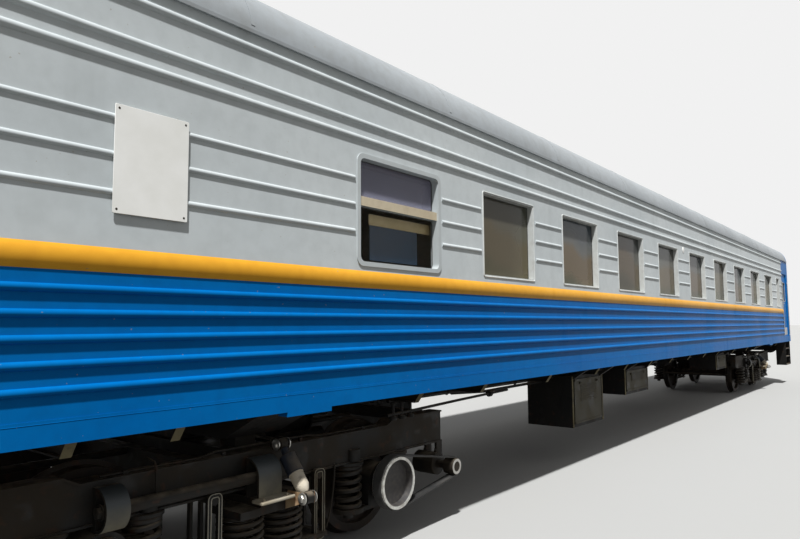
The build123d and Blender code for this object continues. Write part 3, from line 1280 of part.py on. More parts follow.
def drive_belts(axle_x):
    """Belt set round both pulleys, held clear of the turning one, on -Y."""
    gap = BELT_RUNNING_GAP
    small, large = DRIVEN_RADIUS + gap, PULLEY_RADIUS + gap
    dx, dz = DRIVEN_X - axle_x, DRIVEN_Z - AXLE_Z
    distance = hypot(dx, dz)

    def hull(extra):
        """Outline of two circles and their outer tangents, grown by extra."""
        r_big, r_small = large + extra, small + extra
        rise = (r_big - r_small) / distance
        run = sqrt(1 - rise * rise)
        ux, uz = dx / distance, dz / distance
        corners = []
        for cx, cz, r in ((axle_x, AXLE_Z, r_big), (DRIVEN_X, DRIVEN_Z, r_small)):
            turns = [(rise * ux - s * run * uz, rise * uz + s * run * ux) for s in (1, -1)]
            corners.append([(cx + r * across_x, cz + r * across_z) for across_x, across_z in turns])
        (a, b), (c, d) = corners
        quad = make_face(Polyline(a, c, d, b, close=True))
        return Pos(axle_x, AXLE_Z) * Circle(r_big) + Pos(DRIVEN_X, DRIVEN_Z) * Circle(r_small) + quad

    margin = PULLEY_WIDTH / (2 * PULLEY_GROOVES)
    y_span = (PULLEY_OUTER_Y - PULLEY_WIDTH + margin, PULLEY_OUTER_Y - margin)
    loop = side_plate(hull(BELT_THICKNESS) - hull(0), y_span)
    return across(loop)


def generator():
    """Generator as one plain round machine on its feet, under a hanging rail, on -Y."""
    z = BEARER_LOW_Z - TANK_DROP - GENERATOR_RADIUS
    x_span = (GENERATOR_X - GENERATOR_LENGTH / 2, GENERATOR_X + GENERATOR_LENGTH / 2)
    body = rod("x", x_span, (BEARER_Y, z), GENERATOR_RADIUS)
    half = GENERATOR_FEET / 2
    x_feet = (GENERATOR_X - half, GENERATOR_X + half)
    feet = block(x_feet, (BEARER_Y - half, BEARER_Y + half), (z, BEARER_LOW_Z - SEAT_GAP))
    return across(joined(body, feet))


def main():
    os.makedirs("parts", exist_ok=True)
    for node, wall in (("side_panel", lower_wall()), ("side_wall", upper_wall())):
        save(f"{node}_left", wall)
        save(f"{node}_right", across(wall))
    save("belt_rails", *both_sides(belt_rail()))
    save("roof", roof())
    save("roof_vents", *roof_vents())
    shell = end_shell()
    save("end_shell_front", shell)
    save("end_shell_rear", turned(shell))
    leaf, pane = side_door_parts()
    corners = ("front_left", "rear_left", "front_right", "rear_right")
    for name, door, glass in zip(corners, four_corners(leaf), four_corners(pane)):
        save(f"door_{name}", door)
        save(f"door_pane_{name}", glass)
    leaf, pane = end_door_parts()
    save("end_door_front", leaf)
    save("end_door_pane_front", pane)
    save("end_door_rear", turned(leaf))
    save("end_door_pane_rear", turned(pane))

    crew_x = wide_window_xs()[0]
    plain = [(x, w) for x, w in window_table() if x != crew_x]
    frames = [plain_frame(x, w) for x, w in plain] + [crew_frame(crew_x)]
    panes = [plain_pane(x, w) for x, w in plain] + [crew_panes(crew_x)]
    save("window_frames", *(copy for item in frames for copy in both_sides(item)))
    save("window_panes", *(copy for item in panes for copy in both_sides(item)))

    save("floor", floor())
    save("bulkheads", bulkhead(), turned(bulkhead()))
    save("partitions", *partitions())
    bays = PARTITION_XS[:-1]
    save("berths", *(berth for x in bays for berth in bay_berths(x) + side_berths(x)))
    save("tables", *(bay_table(x) for x in bays))

    save("underframe", *underframe())
    save("end_frames", body_end_frame(), turned(body_end_frame()))
    save("buffers", *four_corners(buffer()))
    save("couplers", coupler(), turned(coupler()))
    save("gangway_bellows", gangway_bellows(), turned(gangway_bellows()))
    save("entry_steps", *four_corners(entry_steps()))
    save("underfloor_boxes", *underfloor_boxes())
    save("air_tanks", *air_tanks())
    save("generator", generator())

    drive_axle = 1
    frame, bolster = bogie_frame(), bogie_bolster()
    springs, gear, brakes = bogie_springs(), swing_gear(), brake_gear()
    rods = [leash_rod(), turned(leash_rod()), damper(), turned(damper())]
    axle = wheelset()
    for number, centre_x in ((1, -PIVOT_X), (2, PIVOT_X)):
        place = Pos(centre_x, 0, 0)
        boxes = axleboxes(drive_axle if number == 1 else None)
        for name, pieces in (
            ("frame", [frame]),
            ("bolster", [bolster]),
            ("springs", springs),
            ("axleboxes", boxes),
            ("swing_gear", gear),
            ("rods", rods),
            ("brakes", brakes),
        ):
            save(f"bogie_{name}_{number}", *(place * piece for piece in pieces))
        for i, axle_x in enumerate(AXLE_XS):
            save(f"wheelset_{2 * number - 1 + i}", Pos(centre_x + axle_x, 0, AXLE_Z) * axle)
    drive = Pos(-PIVOT_X, 0, 0)
    drive_x = AXLE_XS[drive_axle]
    save("drive_pulley", drive * Pos(drive_x, 0, AXLE_Z) * pulley())
    save("drive_gearbox", drive * drive_gearbox())
    save("drive_belts", drive * drive_belts(drive_x))


main()
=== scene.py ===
# %% [markdown]
# # Open-plan sleeping coach
# This notebook dresses a passenger coach that was drawn as solids. The solids arrive as a fixed
# frame, in metres: X runs along the coach, Y across it, Z up, and the wheel flanges stand on Z = 0.
# Nothing in the frame is moved. Each step gives a finish to solids or adds a piece that rides on them.

# %% Load the frame
import json
from math import asin, cos, pi, radians, sin, tau

import bmesh
import bpy
from mathutils import Matrix, Vector


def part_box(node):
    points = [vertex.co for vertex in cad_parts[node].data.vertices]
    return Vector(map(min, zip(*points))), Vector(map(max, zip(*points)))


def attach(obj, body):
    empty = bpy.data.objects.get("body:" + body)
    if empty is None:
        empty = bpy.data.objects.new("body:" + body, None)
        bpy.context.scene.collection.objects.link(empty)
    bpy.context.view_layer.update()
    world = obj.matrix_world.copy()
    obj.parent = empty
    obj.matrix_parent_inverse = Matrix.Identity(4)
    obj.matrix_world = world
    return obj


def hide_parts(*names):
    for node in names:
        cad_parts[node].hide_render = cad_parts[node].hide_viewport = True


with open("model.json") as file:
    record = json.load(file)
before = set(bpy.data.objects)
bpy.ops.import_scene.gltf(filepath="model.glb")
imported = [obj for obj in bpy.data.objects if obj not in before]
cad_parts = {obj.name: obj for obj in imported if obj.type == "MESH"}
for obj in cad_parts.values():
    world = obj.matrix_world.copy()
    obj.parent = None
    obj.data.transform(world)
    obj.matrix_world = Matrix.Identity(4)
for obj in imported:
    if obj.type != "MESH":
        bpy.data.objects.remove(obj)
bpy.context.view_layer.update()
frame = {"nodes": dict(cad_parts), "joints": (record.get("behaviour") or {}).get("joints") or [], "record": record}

nodes = frame["nodes"]
joints = {joint["name"]: joint for joint in frame["joints"]}
ALONG, ACROSS, UP = Vector((1, 0, 0)), Vector((0, 1, 0)), Vector((0, 0, 1))
CAR = "coach_body"

# %% [markdown]
# ## Sockets that do arithmetic
# A finish is a network of shader nodes. Wiring each node by hand hides the idea, so one small class
# wraps a socket: `1 - mask` or `mask * 0.5` adds the Math node, and `add` makes any other node.
# It takes the node's settings first, because some of them decide which sockets the node has.


# %% The socket class
class Wire:
    """One output of a shader node, or the bare start of a material, that Python can reckon with."""

    def __init__(self, tree, socket=None):
        self.tree = tree
        self.socket = socket

    def add(self, kind, inputs=None, out=0, stops=None, **settings):
        """New node: settings first, then values or wires for its inputs, by name or number."""
        node = self.tree.nodes.new("ShaderNode" + kind)
        for name, value in settings.items():
            setattr(node, name, value)
        if stops:
            ramp = node.color_ramp
            while len(ramp.elements) < len(stops):
                ramp.elements.new(1.0)
            for element, (place, colour) in zip(ramp.elements, stops):
                element.position = place
                element.color = colour
        for name, value in (inputs or {}).items():
            if isinstance(value, Wire):
                self.tree.links.new(value.socket, node.inputs[name])
            else:
                node.inputs[name].default_value = value
        return Wire(self.tree, node.outputs[out])

    def end(self, kind, shader):
        """Output node of a material or a world."""
        node = self.tree.nodes.new("ShaderNode" + kind)
        self.tree.links.new(shader.socket, node.inputs["Surface"])

    def math(self, operation, *values):
        """Math node over wires and plain numbers."""
        return self.add("Math", dict(enumerate(values)), operation=operation)

    def __add__(self, other):
        return self.math("ADD", self, other)

    def __sub__(self, other):
        return self.math("SUBTRACT", self, other)

    def __rsub__(self, other):
        return self.math("SUBTRACT", other, self)

    def __mul__(self, other):
        return self.math("MULTIPLY", self, other)

    def __gt__(self, other):
        return self.math("GREATER_THAN", self, other)

    __radd__ = __add__
    __rmul__ = __mul__

    def spread(self, low, high, new_low=0.0, new_high=1.0):
        """Where this value goes from low to high, the result goes from new_low to new_high."""
        ends = {"Value": self, "From Min": low, "From Max": high, "To Min": new_low, "To Max": new_high}
        return self.add("MapRange", ends)

    def split(self, axis):
        """One part of a place or a direction: 0 is along the coach, 1 across it and 2 up."""
        return self.add("SeparateXYZ", {0: self}, out=axis)


print("Wire wraps sockets, and has", len([k for k in vars(Wire) if k.startswith("__")]), "special names")

# %% [markdown]
# ## Patterns
# Paint on a coach is never one even colour. It fades in broad clouds, rain draws streaks down it and
# dust lies low on it. Noise covers all of this. It is laid out in the coach's own metres, so that a
# pattern keeps its real size and moves with its part. `cover` turns noise into a share from 0 to 1.

# %% Pattern helpers
EVEN = (1.0, 1.0, 1.0)
# The curve of a screen: straight near black, and a power above the bend
BEND, SLOPE, LIFT, POWER = 0.04045, 12.92, 0.055, 2.4


def paint(red, green, blue):
    """Colour from 0 to 255 a channel, as seen on a screen, to the light values that nodes use."""
    channels = (c / 255 for c in (red, green, blue))
    return (*(c / SLOPE if c <= BEND else ((c + LIFT) / (1 + LIFT)) ** POWER for c in channels), 1.0)


def spot(w):
    """Place of the shaded point on the object."""
    return w.add("TexCoord", out="Object")


def noise(w, scale, detail=3.0, stretch=EVEN):
    """Cloudy values round 0.5; scale is in clouds a metre, and stretch squeezes each axis."""
    place = w.add("VectorMath", {0: spot(w), 1: stretch}, operation="MULTIPLY")
    return w.add("TexNoise", {"Vector": place, "Scale": scale, "Detail": detail})


def cover(w, scale, detail, low, high, stretch=EVEN):
    """Share that a cloudy pattern covers: 0 where the noise is below low, and 1 above high."""
    return noise(w, scale, detail, stretch).spread(low, high)


def tint(w, amount, under, over):
    """Colour under, covered by colour over as far as amount goes."""
    return w.add("Mix", {0: amount, 6: under, 7: over}, out=2, data_type="RGBA", blend_type="MIX")


def bump(w, height, depth, strength=1.0, under=None):
    """Normal that a height pattern of that depth in metres gives, on top of the one under it."""
    inputs = {"Height": height, "Distance": depth, "Strength": strength}
    if under:
        inputs["Normal"] = under
    return w.add("Bump", inputs)


print("Mid grey on a screen is", round(paint(128, 128, 128)[0], 3), "in light")

# %% [markdown]
# ## Finishes
# Every finish is one Principled shader. What is the same all over goes straight on the shader's own
# sockets. What varies, such as colour, roughness and bump, is worked out by a short function.


# %% How a finish is made
def make_finish(name, varied, **fixed):
    """Material with a Principled shader; varied(start) gives the sockets that change over it."""
    material = bpy.data.materials.new(name)
    material.use_nodes = True
    tree = material.node_tree
    tree.nodes.clear()
    start = Wire(tree)
    inputs = {key.replace("_", " "): value for key, value in fixed.items()}
    shader = start.add("BsdfPrincipled", inputs | varied(start))
    start.end("OutputMaterial", shader)
    return material


DUST = paint(150, 138, 120)
SOOT = paint(26, 25, 24)
RUST = paint(96, 62, 40)
finish = {}
print("Dust in light:", [round(channel, 3) for channel in DUST[:3]])

# %% [markdown]
# ## Coach paint
# The walls are enamel on thin sheet. Close up it is mottled and chipped, and from far away the sheet
# shows slow waves between its frames. Each of these is a layer of noise with its own scale, laid over
# the last one. The frame of the crew window is painted in the wall's grey, so a mask by place
# covers that stretch.

# %% Coach paint
CREW_PANE_END = -6.9
CREW_FRAME_GREY, CREW_FRAME_SHARE = paint(176, 183, 185), 0.75
MOTTLE_SHARE, CHIP_SHARE, CHIP_LIMIT = 0.22, 0.5, 0.755
FADED_ROUGHNESS, STREAK_ROUGHNESS = 0.10, 0.15
STREAK_STRETCH, WAVE_STRETCH = (7.0, 7.0, 0.5), (1.0, 1.0, 1.6)
WAVE_DEPTH, PAINT_GRAIN_DEPTH = 0.010, 0.0004


def enamel(name, colour, faded, streaked, gloss, streak_share, shine, patch=None):
    """Coach paint: fading in clouds, rain streaks and chips; patch(w) says where another grey lies."""

    def varied(w):
        fading = cover(w, scale=0.8, detail=6.0, low=0.35, high=0.65)
        base = tint(w, fading, colour, faded)
        mottle = cover(w, scale=14.0, detail=5.0, low=0.40, high=0.70)
        base = tint(w, mottle * MOTTLE_SHARE, base, streaked)
        streaks = cover(w, scale=1.0, detail=5.0, low=0.50, high=0.78, stretch=STREAK_STRETCH)
        streaks = streaks * cover(w, scale=2.2, detail=2.0, low=0.42, high=0.62)
        base = tint(w, streaks * streak_share, base, streaked)
        chips = noise(w, scale=38.0, detail=2.0) > CHIP_LIMIT
        base = tint(w, chips * CHIP_SHARE, base, DUST)
        if patch:
            base = tint(w, patch(w), base, CREW_FRAME_GREY)
        rough = fading * FADED_ROUGHNESS + streaks * STREAK_ROUGHNESS + gloss
        waves = bump(w, noise(w, scale=1.7, detail=1.0, stretch=WAVE_STRETCH), WAVE_DEPTH, strength=0.55)
        skin = bump(w, noise(w, scale=180.0, detail=2.0), PAINT_GRAIN_DEPTH, strength=0.25, under=waves)
        return {"Base Color": base, "Roughness": rough, "Normal": skin}

    return make_finish(name, varied, Specular_IOR_Level=shine, IOR=1.32)


def crew_frame(w):
    """Share of the wall's grey on the window frames: most of it round the crew window."""
    return (1 - (spot(w).split(0) > CREW_PANE_END)) * CREW_FRAME_SHARE


# Columns: paint, faded paint, streaks and stains, roughness, share of streaks, shine
ENAMELS = {
    "blue_paint": (paint(0, 99, 170), paint(3, 105, 174), paint(8, 80, 138), 0.32, 0.20, 0.07),
    "grey_paint": (paint(201, 207, 208), paint(193, 200, 202), paint(170, 176, 176), 0.42, 0.35, 0.3),
    "amber_paint": (paint(230, 168, 52), paint(222, 160, 46), paint(198, 134, 40), 0.32, 0.35, 0.2),
    "roof_paint": (paint(158, 163, 166), paint(150, 155, 158), paint(128, 128, 124), 0.50, 0.35, 0.3),
    "frame_paint": (paint(206, 209, 206), paint(196, 200, 199), paint(150, 142, 130), 0.40, 0.35, 0.3),
    "transom_cream": (paint(206, 194, 170), paint(184, 170, 142), paint(140, 120, 92), 0.45, 0.6, 0.3),
}
for name, row in ENAMELS.items():
    finish[name] = enamel(name, *row, patch=crew_frame if name == "frame_paint" else None)
print("Enamels:", list(ENAMELS))

# %% [markdown]
# ## Running gear steel
# Oil, soot, rust and road dust cover what runs below the floor. Dust settles on what faces up, so its
# mask comes from the surface's own direction. The straps are pale low down, as painted sunlight below
# the body's shadow.

# %% Running gear steel
GRIME_SHINE = 0.22
OIL_SHARE, OIL_SMOOTHING, CLOUD_ROUGHNESS, UPWARD_DUST = 0.7, 0.22, 0.18, 0.6
PIT_DEPTH, STRAP_PIT_DEPTH = 0.0016, 0.0012
STRAP_ROUGHNESS, STRAP_LOW_ROUGHNESS = 0.6, 0.2
HOOD_SUNLIT_HEIGHTS = (0.66, 0.82)


def grimy_steel(name, colour, dusted, gloss=0.62, rust=0.25, metal=0.0):
    """Painted or bare running-gear steel under dust, oil and some rust."""

    def varied(w):
        clouds = cover(w, scale=3.0, detail=6.0, low=0.38, high=0.64)
        base = tint(w, clouds, colour, dusted)
        oil = cover(w, scale=7.0, detail=4.0, low=0.56, high=0.68)
        base = tint(w, oil * OIL_SHARE, base, SOOT)
        rusty = cover(w, scale=11.0, detail=7.0, low=0.60, high=0.74)
        base = tint(w, rusty * rust, base, RUST)
        upward = w.add("NewGeometry", out="Normal").split(2).spread(low=0.3, high=0.95)
        settled = upward * cover(w, scale=9.0, detail=4.0, low=0.3, high=0.7)
        base = tint(w, settled * UPWARD_DUST, base, DUST)
        rough = gloss + clouds * CLOUD_ROUGHNESS - oil * OIL_SMOOTHING
        pits = bump(w, noise(w, scale=60.0, detail=6.0), PIT_DEPTH, strength=0.5)
        return {"Base Color": base, "Roughness": rough, "Normal": pits}

    return make_finish(name, varied, Metallic=metal, Specular_IOR_Level=GRIME_SHINE)


def pale_below_as_sunlit(name, colour, dusty, heights):
    """Painted strap whose lower part is pale as painted sunlight, broken by dust clouds, between two heights in
    metres.
    """

    def varied(w):
        clouds = cover(w, scale=9.0, detail=5.0, low=0.35, high=0.65)
        # Painted sunlight: pale low down, below the body's shadow, broken up by dust clouds.
        low = spot(w).split(2).spread(*heights, new_low=1.0, new_high=0.0)
        dust = low * clouds.spread(0.0, 1.0, new_low=0.55, new_high=1.0)
        pits = bump(w, noise(w, scale=60.0, detail=6.0), STRAP_PIT_DEPTH, strength=0.5)
        rough = low * STRAP_LOW_ROUGHNESS + STRAP_ROUGHNESS
        return {"Base Color": tint(w, dust, colour, dusty), "Roughness": rough, "Normal": pits}

    return make_finish(name, varied)


# Columns: colour, dusted colour, then where they differ: roughness, share of rust, metal
STEELS = {
    # The near-black of the frames and springs is their dark paint, made darker still as painted shade under the
    # body.
    "chassis_paint": (paint(10, 10, 9), paint(24, 22, 20)),
    "bogie_paint": (paint(18, 17, 15), paint(44, 38, 30)),
    "spring_steel": (paint(24, 22, 20), paint(44, 38, 30), 0.55),
    "wheel_steel": (paint(34, 29, 26), paint(50, 43, 36), 0.55, 0.4, 0.3),
    "coupler_iron": (paint(58, 48, 42), paint(82, 70, 60), 0.6, 0.5),
    "buffer_steel": (paint(40, 39, 38), paint(70, 66, 60), 0.45, 0.2, 0.4),
    "dark_fittings": (paint(38, 36, 34), paint(60, 56, 50), 0.5, 0.2, 0.3),
    "dusty_beige": (paint(128, 120, 92), paint(104, 96, 74), 0.7, 0.3),
    # The damper's lower tube: pale as painted sunlight.
    "damper_painted_sunlit": (paint(206, 198, 182), paint(184, 172, 150), 0.45, 0.15),
    # The hood's foot plate: pale as painted sunlight.
    "foot_painted_sunlit": (paint(170, 164, 148), paint(146, 136, 116), 0.50, 0.15),
    # The damper's sleeve: dark blue as painted shade.
    "damper_painted_shade": (paint(48, 54, 66), paint(40, 44, 52), 0.45, 0.1),
    "rust_dust": (paint(150, 112, 78), paint(190, 172, 140), 0.8, 0.6),
    # Hanger edges: worn, and lighter still as a painted highlight.
    "worn_edge_and_highlight": (paint(190, 186, 172), paint(150, 144, 126), 0.5, 0.3),
    "box_paint": (paint(62, 60, 50), paint(78, 74, 62), 0.6, 0.15),
}
for name, row in STEELS.items():
    finish[name] = grimy_steel(name, *row)
# Hoop and hood straps: pale low down as painted sunlight below the body's shadow, in a dusty tone.
finish["strap_painted_sunlit"] = pale_below_as_sunlit(
    "strap_painted_sunlit", paint(46, 51, 53), paint(138, 132, 114), HOOD_SUNLIT_HEIGHTS
)
print("Steels:", len(STEELS))

# %% [markdown]
# ## Bright metal
# Nuts and rails are bare steel with fine marks from turning. The pulley has two looks on one casting:
# the belts keep its rim bright, and brake dust darkens its dish. The distance from the axle tells
# the two apart.

# %% Bright metal
STEEL_DULLED, DULL_SHARE, DULL_ROUGHNESS = paint(120, 112, 100), 0.35, 0.25
TURNING_STRETCH, TURNING_DEPTH = (1.0, 0.15, 1.0), 0.0002
RIM_START, RIM_BLEND = 0.190, 0.004
RIM_SMOOTHING, DISH_ROUGHNESS, RIM_METAL = -0.3, 0.62, 0.6
DISH, DISH_MARKED = paint(44, 42, 42), paint(64, 60, 56)
RIM_BRIGHT, RIM_MARKED = paint(214, 214, 208), paint(168, 164, 156)


def bright_steel(name, colour, gloss):
    """Machined or polished steel with fine turning marks and finger-dull patches."""

    def varied(w):
        dull = cover(w, scale=9.0, detail=5.0, low=0.42, high=0.66)
        base = tint(w, dull * DULL_SHARE, colour, STEEL_DULLED)
        marks = noise(w, scale=240.0, detail=2.0, stretch=TURNING_STRETCH)
        skin = bump(w, marks, TURNING_DEPTH, strength=0.3)
        return {"Base Color": base, "Roughness": dull * DULL_ROUGHNESS + gloss, "Normal": skin}

    return make_finish(name, varied, Metallic=0.85)


def turned_iron(name):
    """The belt pulley: its rim is worn bright by the belts and its dish is dark with brake dust."""
    axle = Vector(joints["wheelset_2_spin"]["pos_m"])

    def varied(w):
        flat = w.add("VectorMath", {0: spot(w), 1: (1, 0, 1)}, operation="MULTIPLY")
        points = {0: flat, 1: (axle.x, 0, axle.z)}
        from_axle = w.add("VectorMath", points, out="Value", operation="DISTANCE")
        rim = from_axle.spread(RIM_START - RIM_BLEND, RIM_START)
        marks = cover(w, scale=30.0, detail=4.0, low=0.4, high=0.7)
        dish = tint(w, marks, DISH, DISH_MARKED)
        bright = tint(w, marks, RIM_BRIGHT, RIM_MARKED)
        rough = rim * RIM_SMOOTHING + DISH_ROUGHNESS
        return {"Base Color": tint(w, rim, dish, bright), "Roughness": rough, "Metallic": rim * RIM_METAL}

    return make_finish(name, varied)


finish["bolt_steel"] = bright_steel("bolt_steel", paint(186, 184, 178), gloss=0.30)
finish["pulley_iron"] = turned_iron("pulley_iron")
print("Bright rim from", RIM_START, "m off the axle")

# %% [markdown]
# ## Laminate, vinyl and rubber
# Inside are laminate panels, lino, varnished wood and creased vinyl. Rubber blooms grey with age. One
# function with a grain size serves all the hard sheets, because they differ only in scale and gloss.

# %% Laminate, vinyl and rubber
FLECK_SHARE, WORN_SHARE, WORN_ROUGHNESS, FINER = 0.5, 0.2, 0.2, 6.0
LEATHER_CELLS, LEATHER_DEPTH, CREASE_DEPTH, CREASE_STRETCH = 420.0, 0.0004, 0.006, (1.0, 1.0, 2.5)
VINYL_ROUGHNESS, CREASE_ROUGHNESS = 0.30, 0.3
BLOOM, BLOOM_SHARE, RUBBER_GRAIN_DEPTH = paint(74, 72, 68), 0.6, 0.0006
RUBBER_ROUGHNESS, BLOOM_ROUGHNESS = 0.62, 0.2


def sheet_plastic(name, colour, other, grain, gloss, depth=0.0004):
    """Laminate, lino or moulded plastic with a fine fleck and soft wear."""

    def varied(w):
        fleck = cover(w, scale=grain, detail=6.0, low=0.40, high=0.62)
        worn = cover(w, scale=1.3, detail=3.0, low=0.45, high=0.70)
        base = tint(w, fleck * FLECK_SHARE + worn * WORN_SHARE, colour, other)
        skin = bump(w, noise(w, scale=grain * FINER, detail=3.0), depth, strength=0.4)
        return {"Base Color": base, "Roughness": worn * WORN_ROUGHNESS + gloss, "Normal": skin}

    return make_finish(name, varied)


def vinyl(name, colour, worn_colour):
    """Padded berth covers: creased vinyl with a fine leather grain."""

    def varied(w):
        grain = w.add("TexVoronoi", {"Vector": spot(w), "Scale": LEATHER_CELLS}, out="Distance")
        creases = noise(w, scale=6.0, detail=6.0, stretch=CREASE_STRETCH)
        base = tint(w, creases.spread(low=0.45, high=0.70), colour, worn_colour)
        soft = bump(w, creases, CREASE_DEPTH, strength=0.6)
        skin = bump(w, grain, LEATHER_DEPTH, strength=0.5, under=soft)
        rough = creases * CREASE_ROUGHNESS + VINYL_ROUGHNESS
        return {"Base Color": base, "Roughness": rough, "Normal": skin}

    return make_finish(name, varied)


def rubber(name, colour):
    """Rubber that has bloomed grey, with a dusty film."""

    def varied(w):
        bloom = cover(w, scale=4.0, detail=6.0, low=0.42, high=0.68)
        base = tint(w, bloom * BLOOM_SHARE, colour, BLOOM)
        skin = bump(w, noise(w, scale=90.0, detail=4.0), RUBBER_GRAIN_DEPTH, strength=0.5)
        rough = bloom * BLOOM_ROUGHNESS + RUBBER_ROUGHNESS
        return {"Base Color": base, "Roughness": rough, "Normal": skin}

    return make_finish(name, varied)


# Columns: colour, fleck and wear, flecks a metre, roughness, then the grain's depth where it differs
SHEETS = {
    "floor_lining": (paint(112, 84, 62), paint(92, 70, 54), 60.0, 0.38),
    "cabin_panel": (paint(206, 190, 156), paint(190, 172, 138), 30.0, 0.42),
    "table_laminate": (paint(198, 180, 146), paint(180, 160, 124), 50.0, 0.25),
    "sign_enamel": (paint(244, 244, 240), paint(232, 232, 226), 6.0, 0.30, 0.0002),
    "board_teal": (paint(4, 38, 62), paint(10, 48, 70), 10.0, 0.40),
    "board_cream": (paint(224, 204, 152), paint(196, 174, 124), 10.0, 0.40),
    "varnished_wood": (paint(120, 62, 40), paint(86, 44, 30), 12.0, 0.30),
    "lamp_red": (paint(150, 16, 14), paint(120, 12, 12), 30.0, 0.12),
}
RUBBERS = {
    "belt_rubber": (0.018, 0.018, 0.018, 1.0),
    "gaiter_rubber": (0.03, 0.03, 0.032, 1.0),
    "seal_rubber": paint(22, 22, 22),
}
for name, row in SHEETS.items():
    finish[name] = sheet_plastic(name, *row)
for name, colour in RUBBERS.items():
    finish[name] = rubber(name, colour)
finish["berth_vinyl"] = vinyl("berth_vinyl", paint(126, 60, 44), paint(104, 50, 38))
print("Sheets:", len(SHEETS), "rubbers:", len(RUBBERS))

# %% [markdown]
# ## Window glass
# Old double glazing is hazy, and its colour is painted light: a painted reflection of what stands
# opposite, with painted shade at the sill, a warm painted sunlit band, and cool below the eaves. A ramp
# over the height of the pane gives this, and slow noise along the coach makes the panes differ. The
# crew window's lower pane is clear, so that the board behind it shows.

# %% Window glass
CREW_PANE_SPLIT_Z = 2.76
PANE_HEIGHTS = (2.28, 3.10)
# Painted light from the sill up: painted shade of the sill, a painted sunlit band, and a cool painted reflection
# below the eaves
PAINTED_GLASS_LIGHT = (
    (0.0, paint(66, 70, 52)),
    (0.10, paint(84, 82, 62)),
    (0.22, paint(112, 98, 76)),
    (0.55, paint(116, 102, 82)),
    (0.66, paint(108, 108, 104)),
    (1.0, paint(80, 90, 98)),
)
# Olive patches on the glass are a painted reflection of trees.
OLIVE_REFLECTION, OLIVE_REFLECTION_SHARE = paint(112, 112, 84), 0.5
BROWN, BROWN_SHARE = paint(70, 54, 44), 0.45
CREW_LOWER, CREW_UPPER = paint(20, 24, 24), paint(152, 152, 172)
SALOON_ALPHA, CREW_LOWER_ALPHA, CREW_UPPER_EXTRA = 0.80, 0.10, 0.40
LENGTHWISE, LENGTHWISE_BACK, SMEAR_STRETCH = (1.0, 0.0, 0.0), (-1.0, 0.0, 0.0), (1.0, 1.0, 0.5)
SMEAR_SHIFT, DRIFT, DRIFT_BAND = 0.12, 0.12, (0.40, 0.60)
GLASS_ROUGHNESS, SMEAR_ROUGHNESS = 0.04, 0.10


def tinted_glass(name):
    """Coach glazing with painted shade, sunlight and reflection from the sill to the eaves; the crew window has
    its own two panes.
    """

    def varied(w):
        smear = cover(w, scale=2.4, detail=5.0, low=0.35, high=0.70, stretch=SMEAR_STRETCH)
        drift = noise(w, scale=0.7, detail=1.0, stretch=LENGTHWISE).spread(*DRIFT_BAND, -DRIFT, DRIFT)
        height = spot(w).split(2).spread(*PANE_HEIGHTS) + drift + (smear - 0.5) * SMEAR_SHIFT
        glass_light = w.add("ValToRGB", {0: height}, stops=PAINTED_GLASS_LIGHT)
        # Olive patches along the coach: painted reflection of trees.
        olive_reflection = cover(w, scale=0.45, detail=0.0, low=0.46, high=0.56, stretch=LENGTHWISE)
        glass_light = tint(w, olive_reflection * OLIVE_REFLECTION_SHARE, glass_light, OLIVE_REFLECTION)
        brown = cover(w, scale=0.6, detail=0.0, low=0.44, high=0.58, stretch=LENGTHWISE_BACK)
        glass_light = tint(w, brown * BROWN_SHARE, glass_light, BROWN)
        saloon = spot(w).split(0) > CREW_PANE_END
        upper = spot(w).split(2) > CREW_PANE_SPLIT_Z
        base = tint(w, saloon, tint(w, upper, CREW_LOWER, CREW_UPPER), glass_light)
        crew_alpha = upper * CREW_UPPER_EXTRA + CREW_LOWER_ALPHA
        alpha = saloon * SALOON_ALPHA + (1 - saloon) * crew_alpha
        rough = smear * SMEAR_ROUGHNESS + GLASS_ROUGHNESS
        return {"Base Color": base, "Roughness": rough, "Alpha": alpha}

    return make_finish(name, varied, IOR=1.25)


finish["window_glass"] = tinted_glass("window_glass")
print("Haze steps:", len(PAINTED_GLASS_LIGHT))

# %% [markdown]
# ## Finishes on the solids
# The record names a finish for each node. A node's object keeps its mesh and its place, and only its
# material is set.

# %% Dress the nodes
for part in frame["record"]["subparts"]:
    materials = nodes[part["node"]].data.materials
    materials.clear()
    materials.append(finish[part["material_slot"]])

# %% [markdown]
# ## Skins, tubes and slabs
# Few pieces need more than three builders. `tube` follows a path, `turned` spins a profile round an
# axis and `slab` thickens an outline. All three lay out rings of points, and `bridge` skins them.
# Mesh code is chosen over curves and modifiers, because it gives closed skins with few faces.


# %% Skins and tubes
TINY = 1e-6
SHARP_TIP = 1e-4


def bridge(mesh, rings, loop=False):
    """Skin from ring to ring, with a flat cap on both ends unless the rings form a loop."""
    rows = [[mesh.verts.new(point) for point in ring] for ring in rings]
    count = len(rows[0])
    for low, high in zip(rows, rows[1:] + rows[:1] if loop else rows[1:]):
        for i in range(count):
            k = (i + 1) % count
            mesh.faces.new((low[i], low[k], high[k], high[i]))
    if not loop:
        mesh.faces.new(rows[0][::-1])
        mesh.faces.new(rows[-1])


def circle(centre, side, up, radius, count):
    """Points round a centre, from side towards up."""
    turns = [tau * i / count for i in range(count)]
    return [centre + side * (radius * cos(turn)) + up * (radius * sin(turn)) for turn in turns]


def tube(mesh, path, radius, count=10, loop=False):
    """Round tube along a path, whose cross-section turns as little as it can."""
    points = [Vector(point) for point in path]
    last = len(points) - 1
    side = None
    rings = []
    for i, point in enumerate(points):
        before = points[i - 1] if i or loop else point
        after = points[(i + 1) % (last + 1)] if i < last or loop else point
        along = (after - before).normalized()
        if side is None:
            side = along.orthogonal()
        side = (side - along * side.dot(along)).normalized()
        rings.append(circle(point, side, along.cross(side), radius, count))
    bridge(mesh, rings, loop)


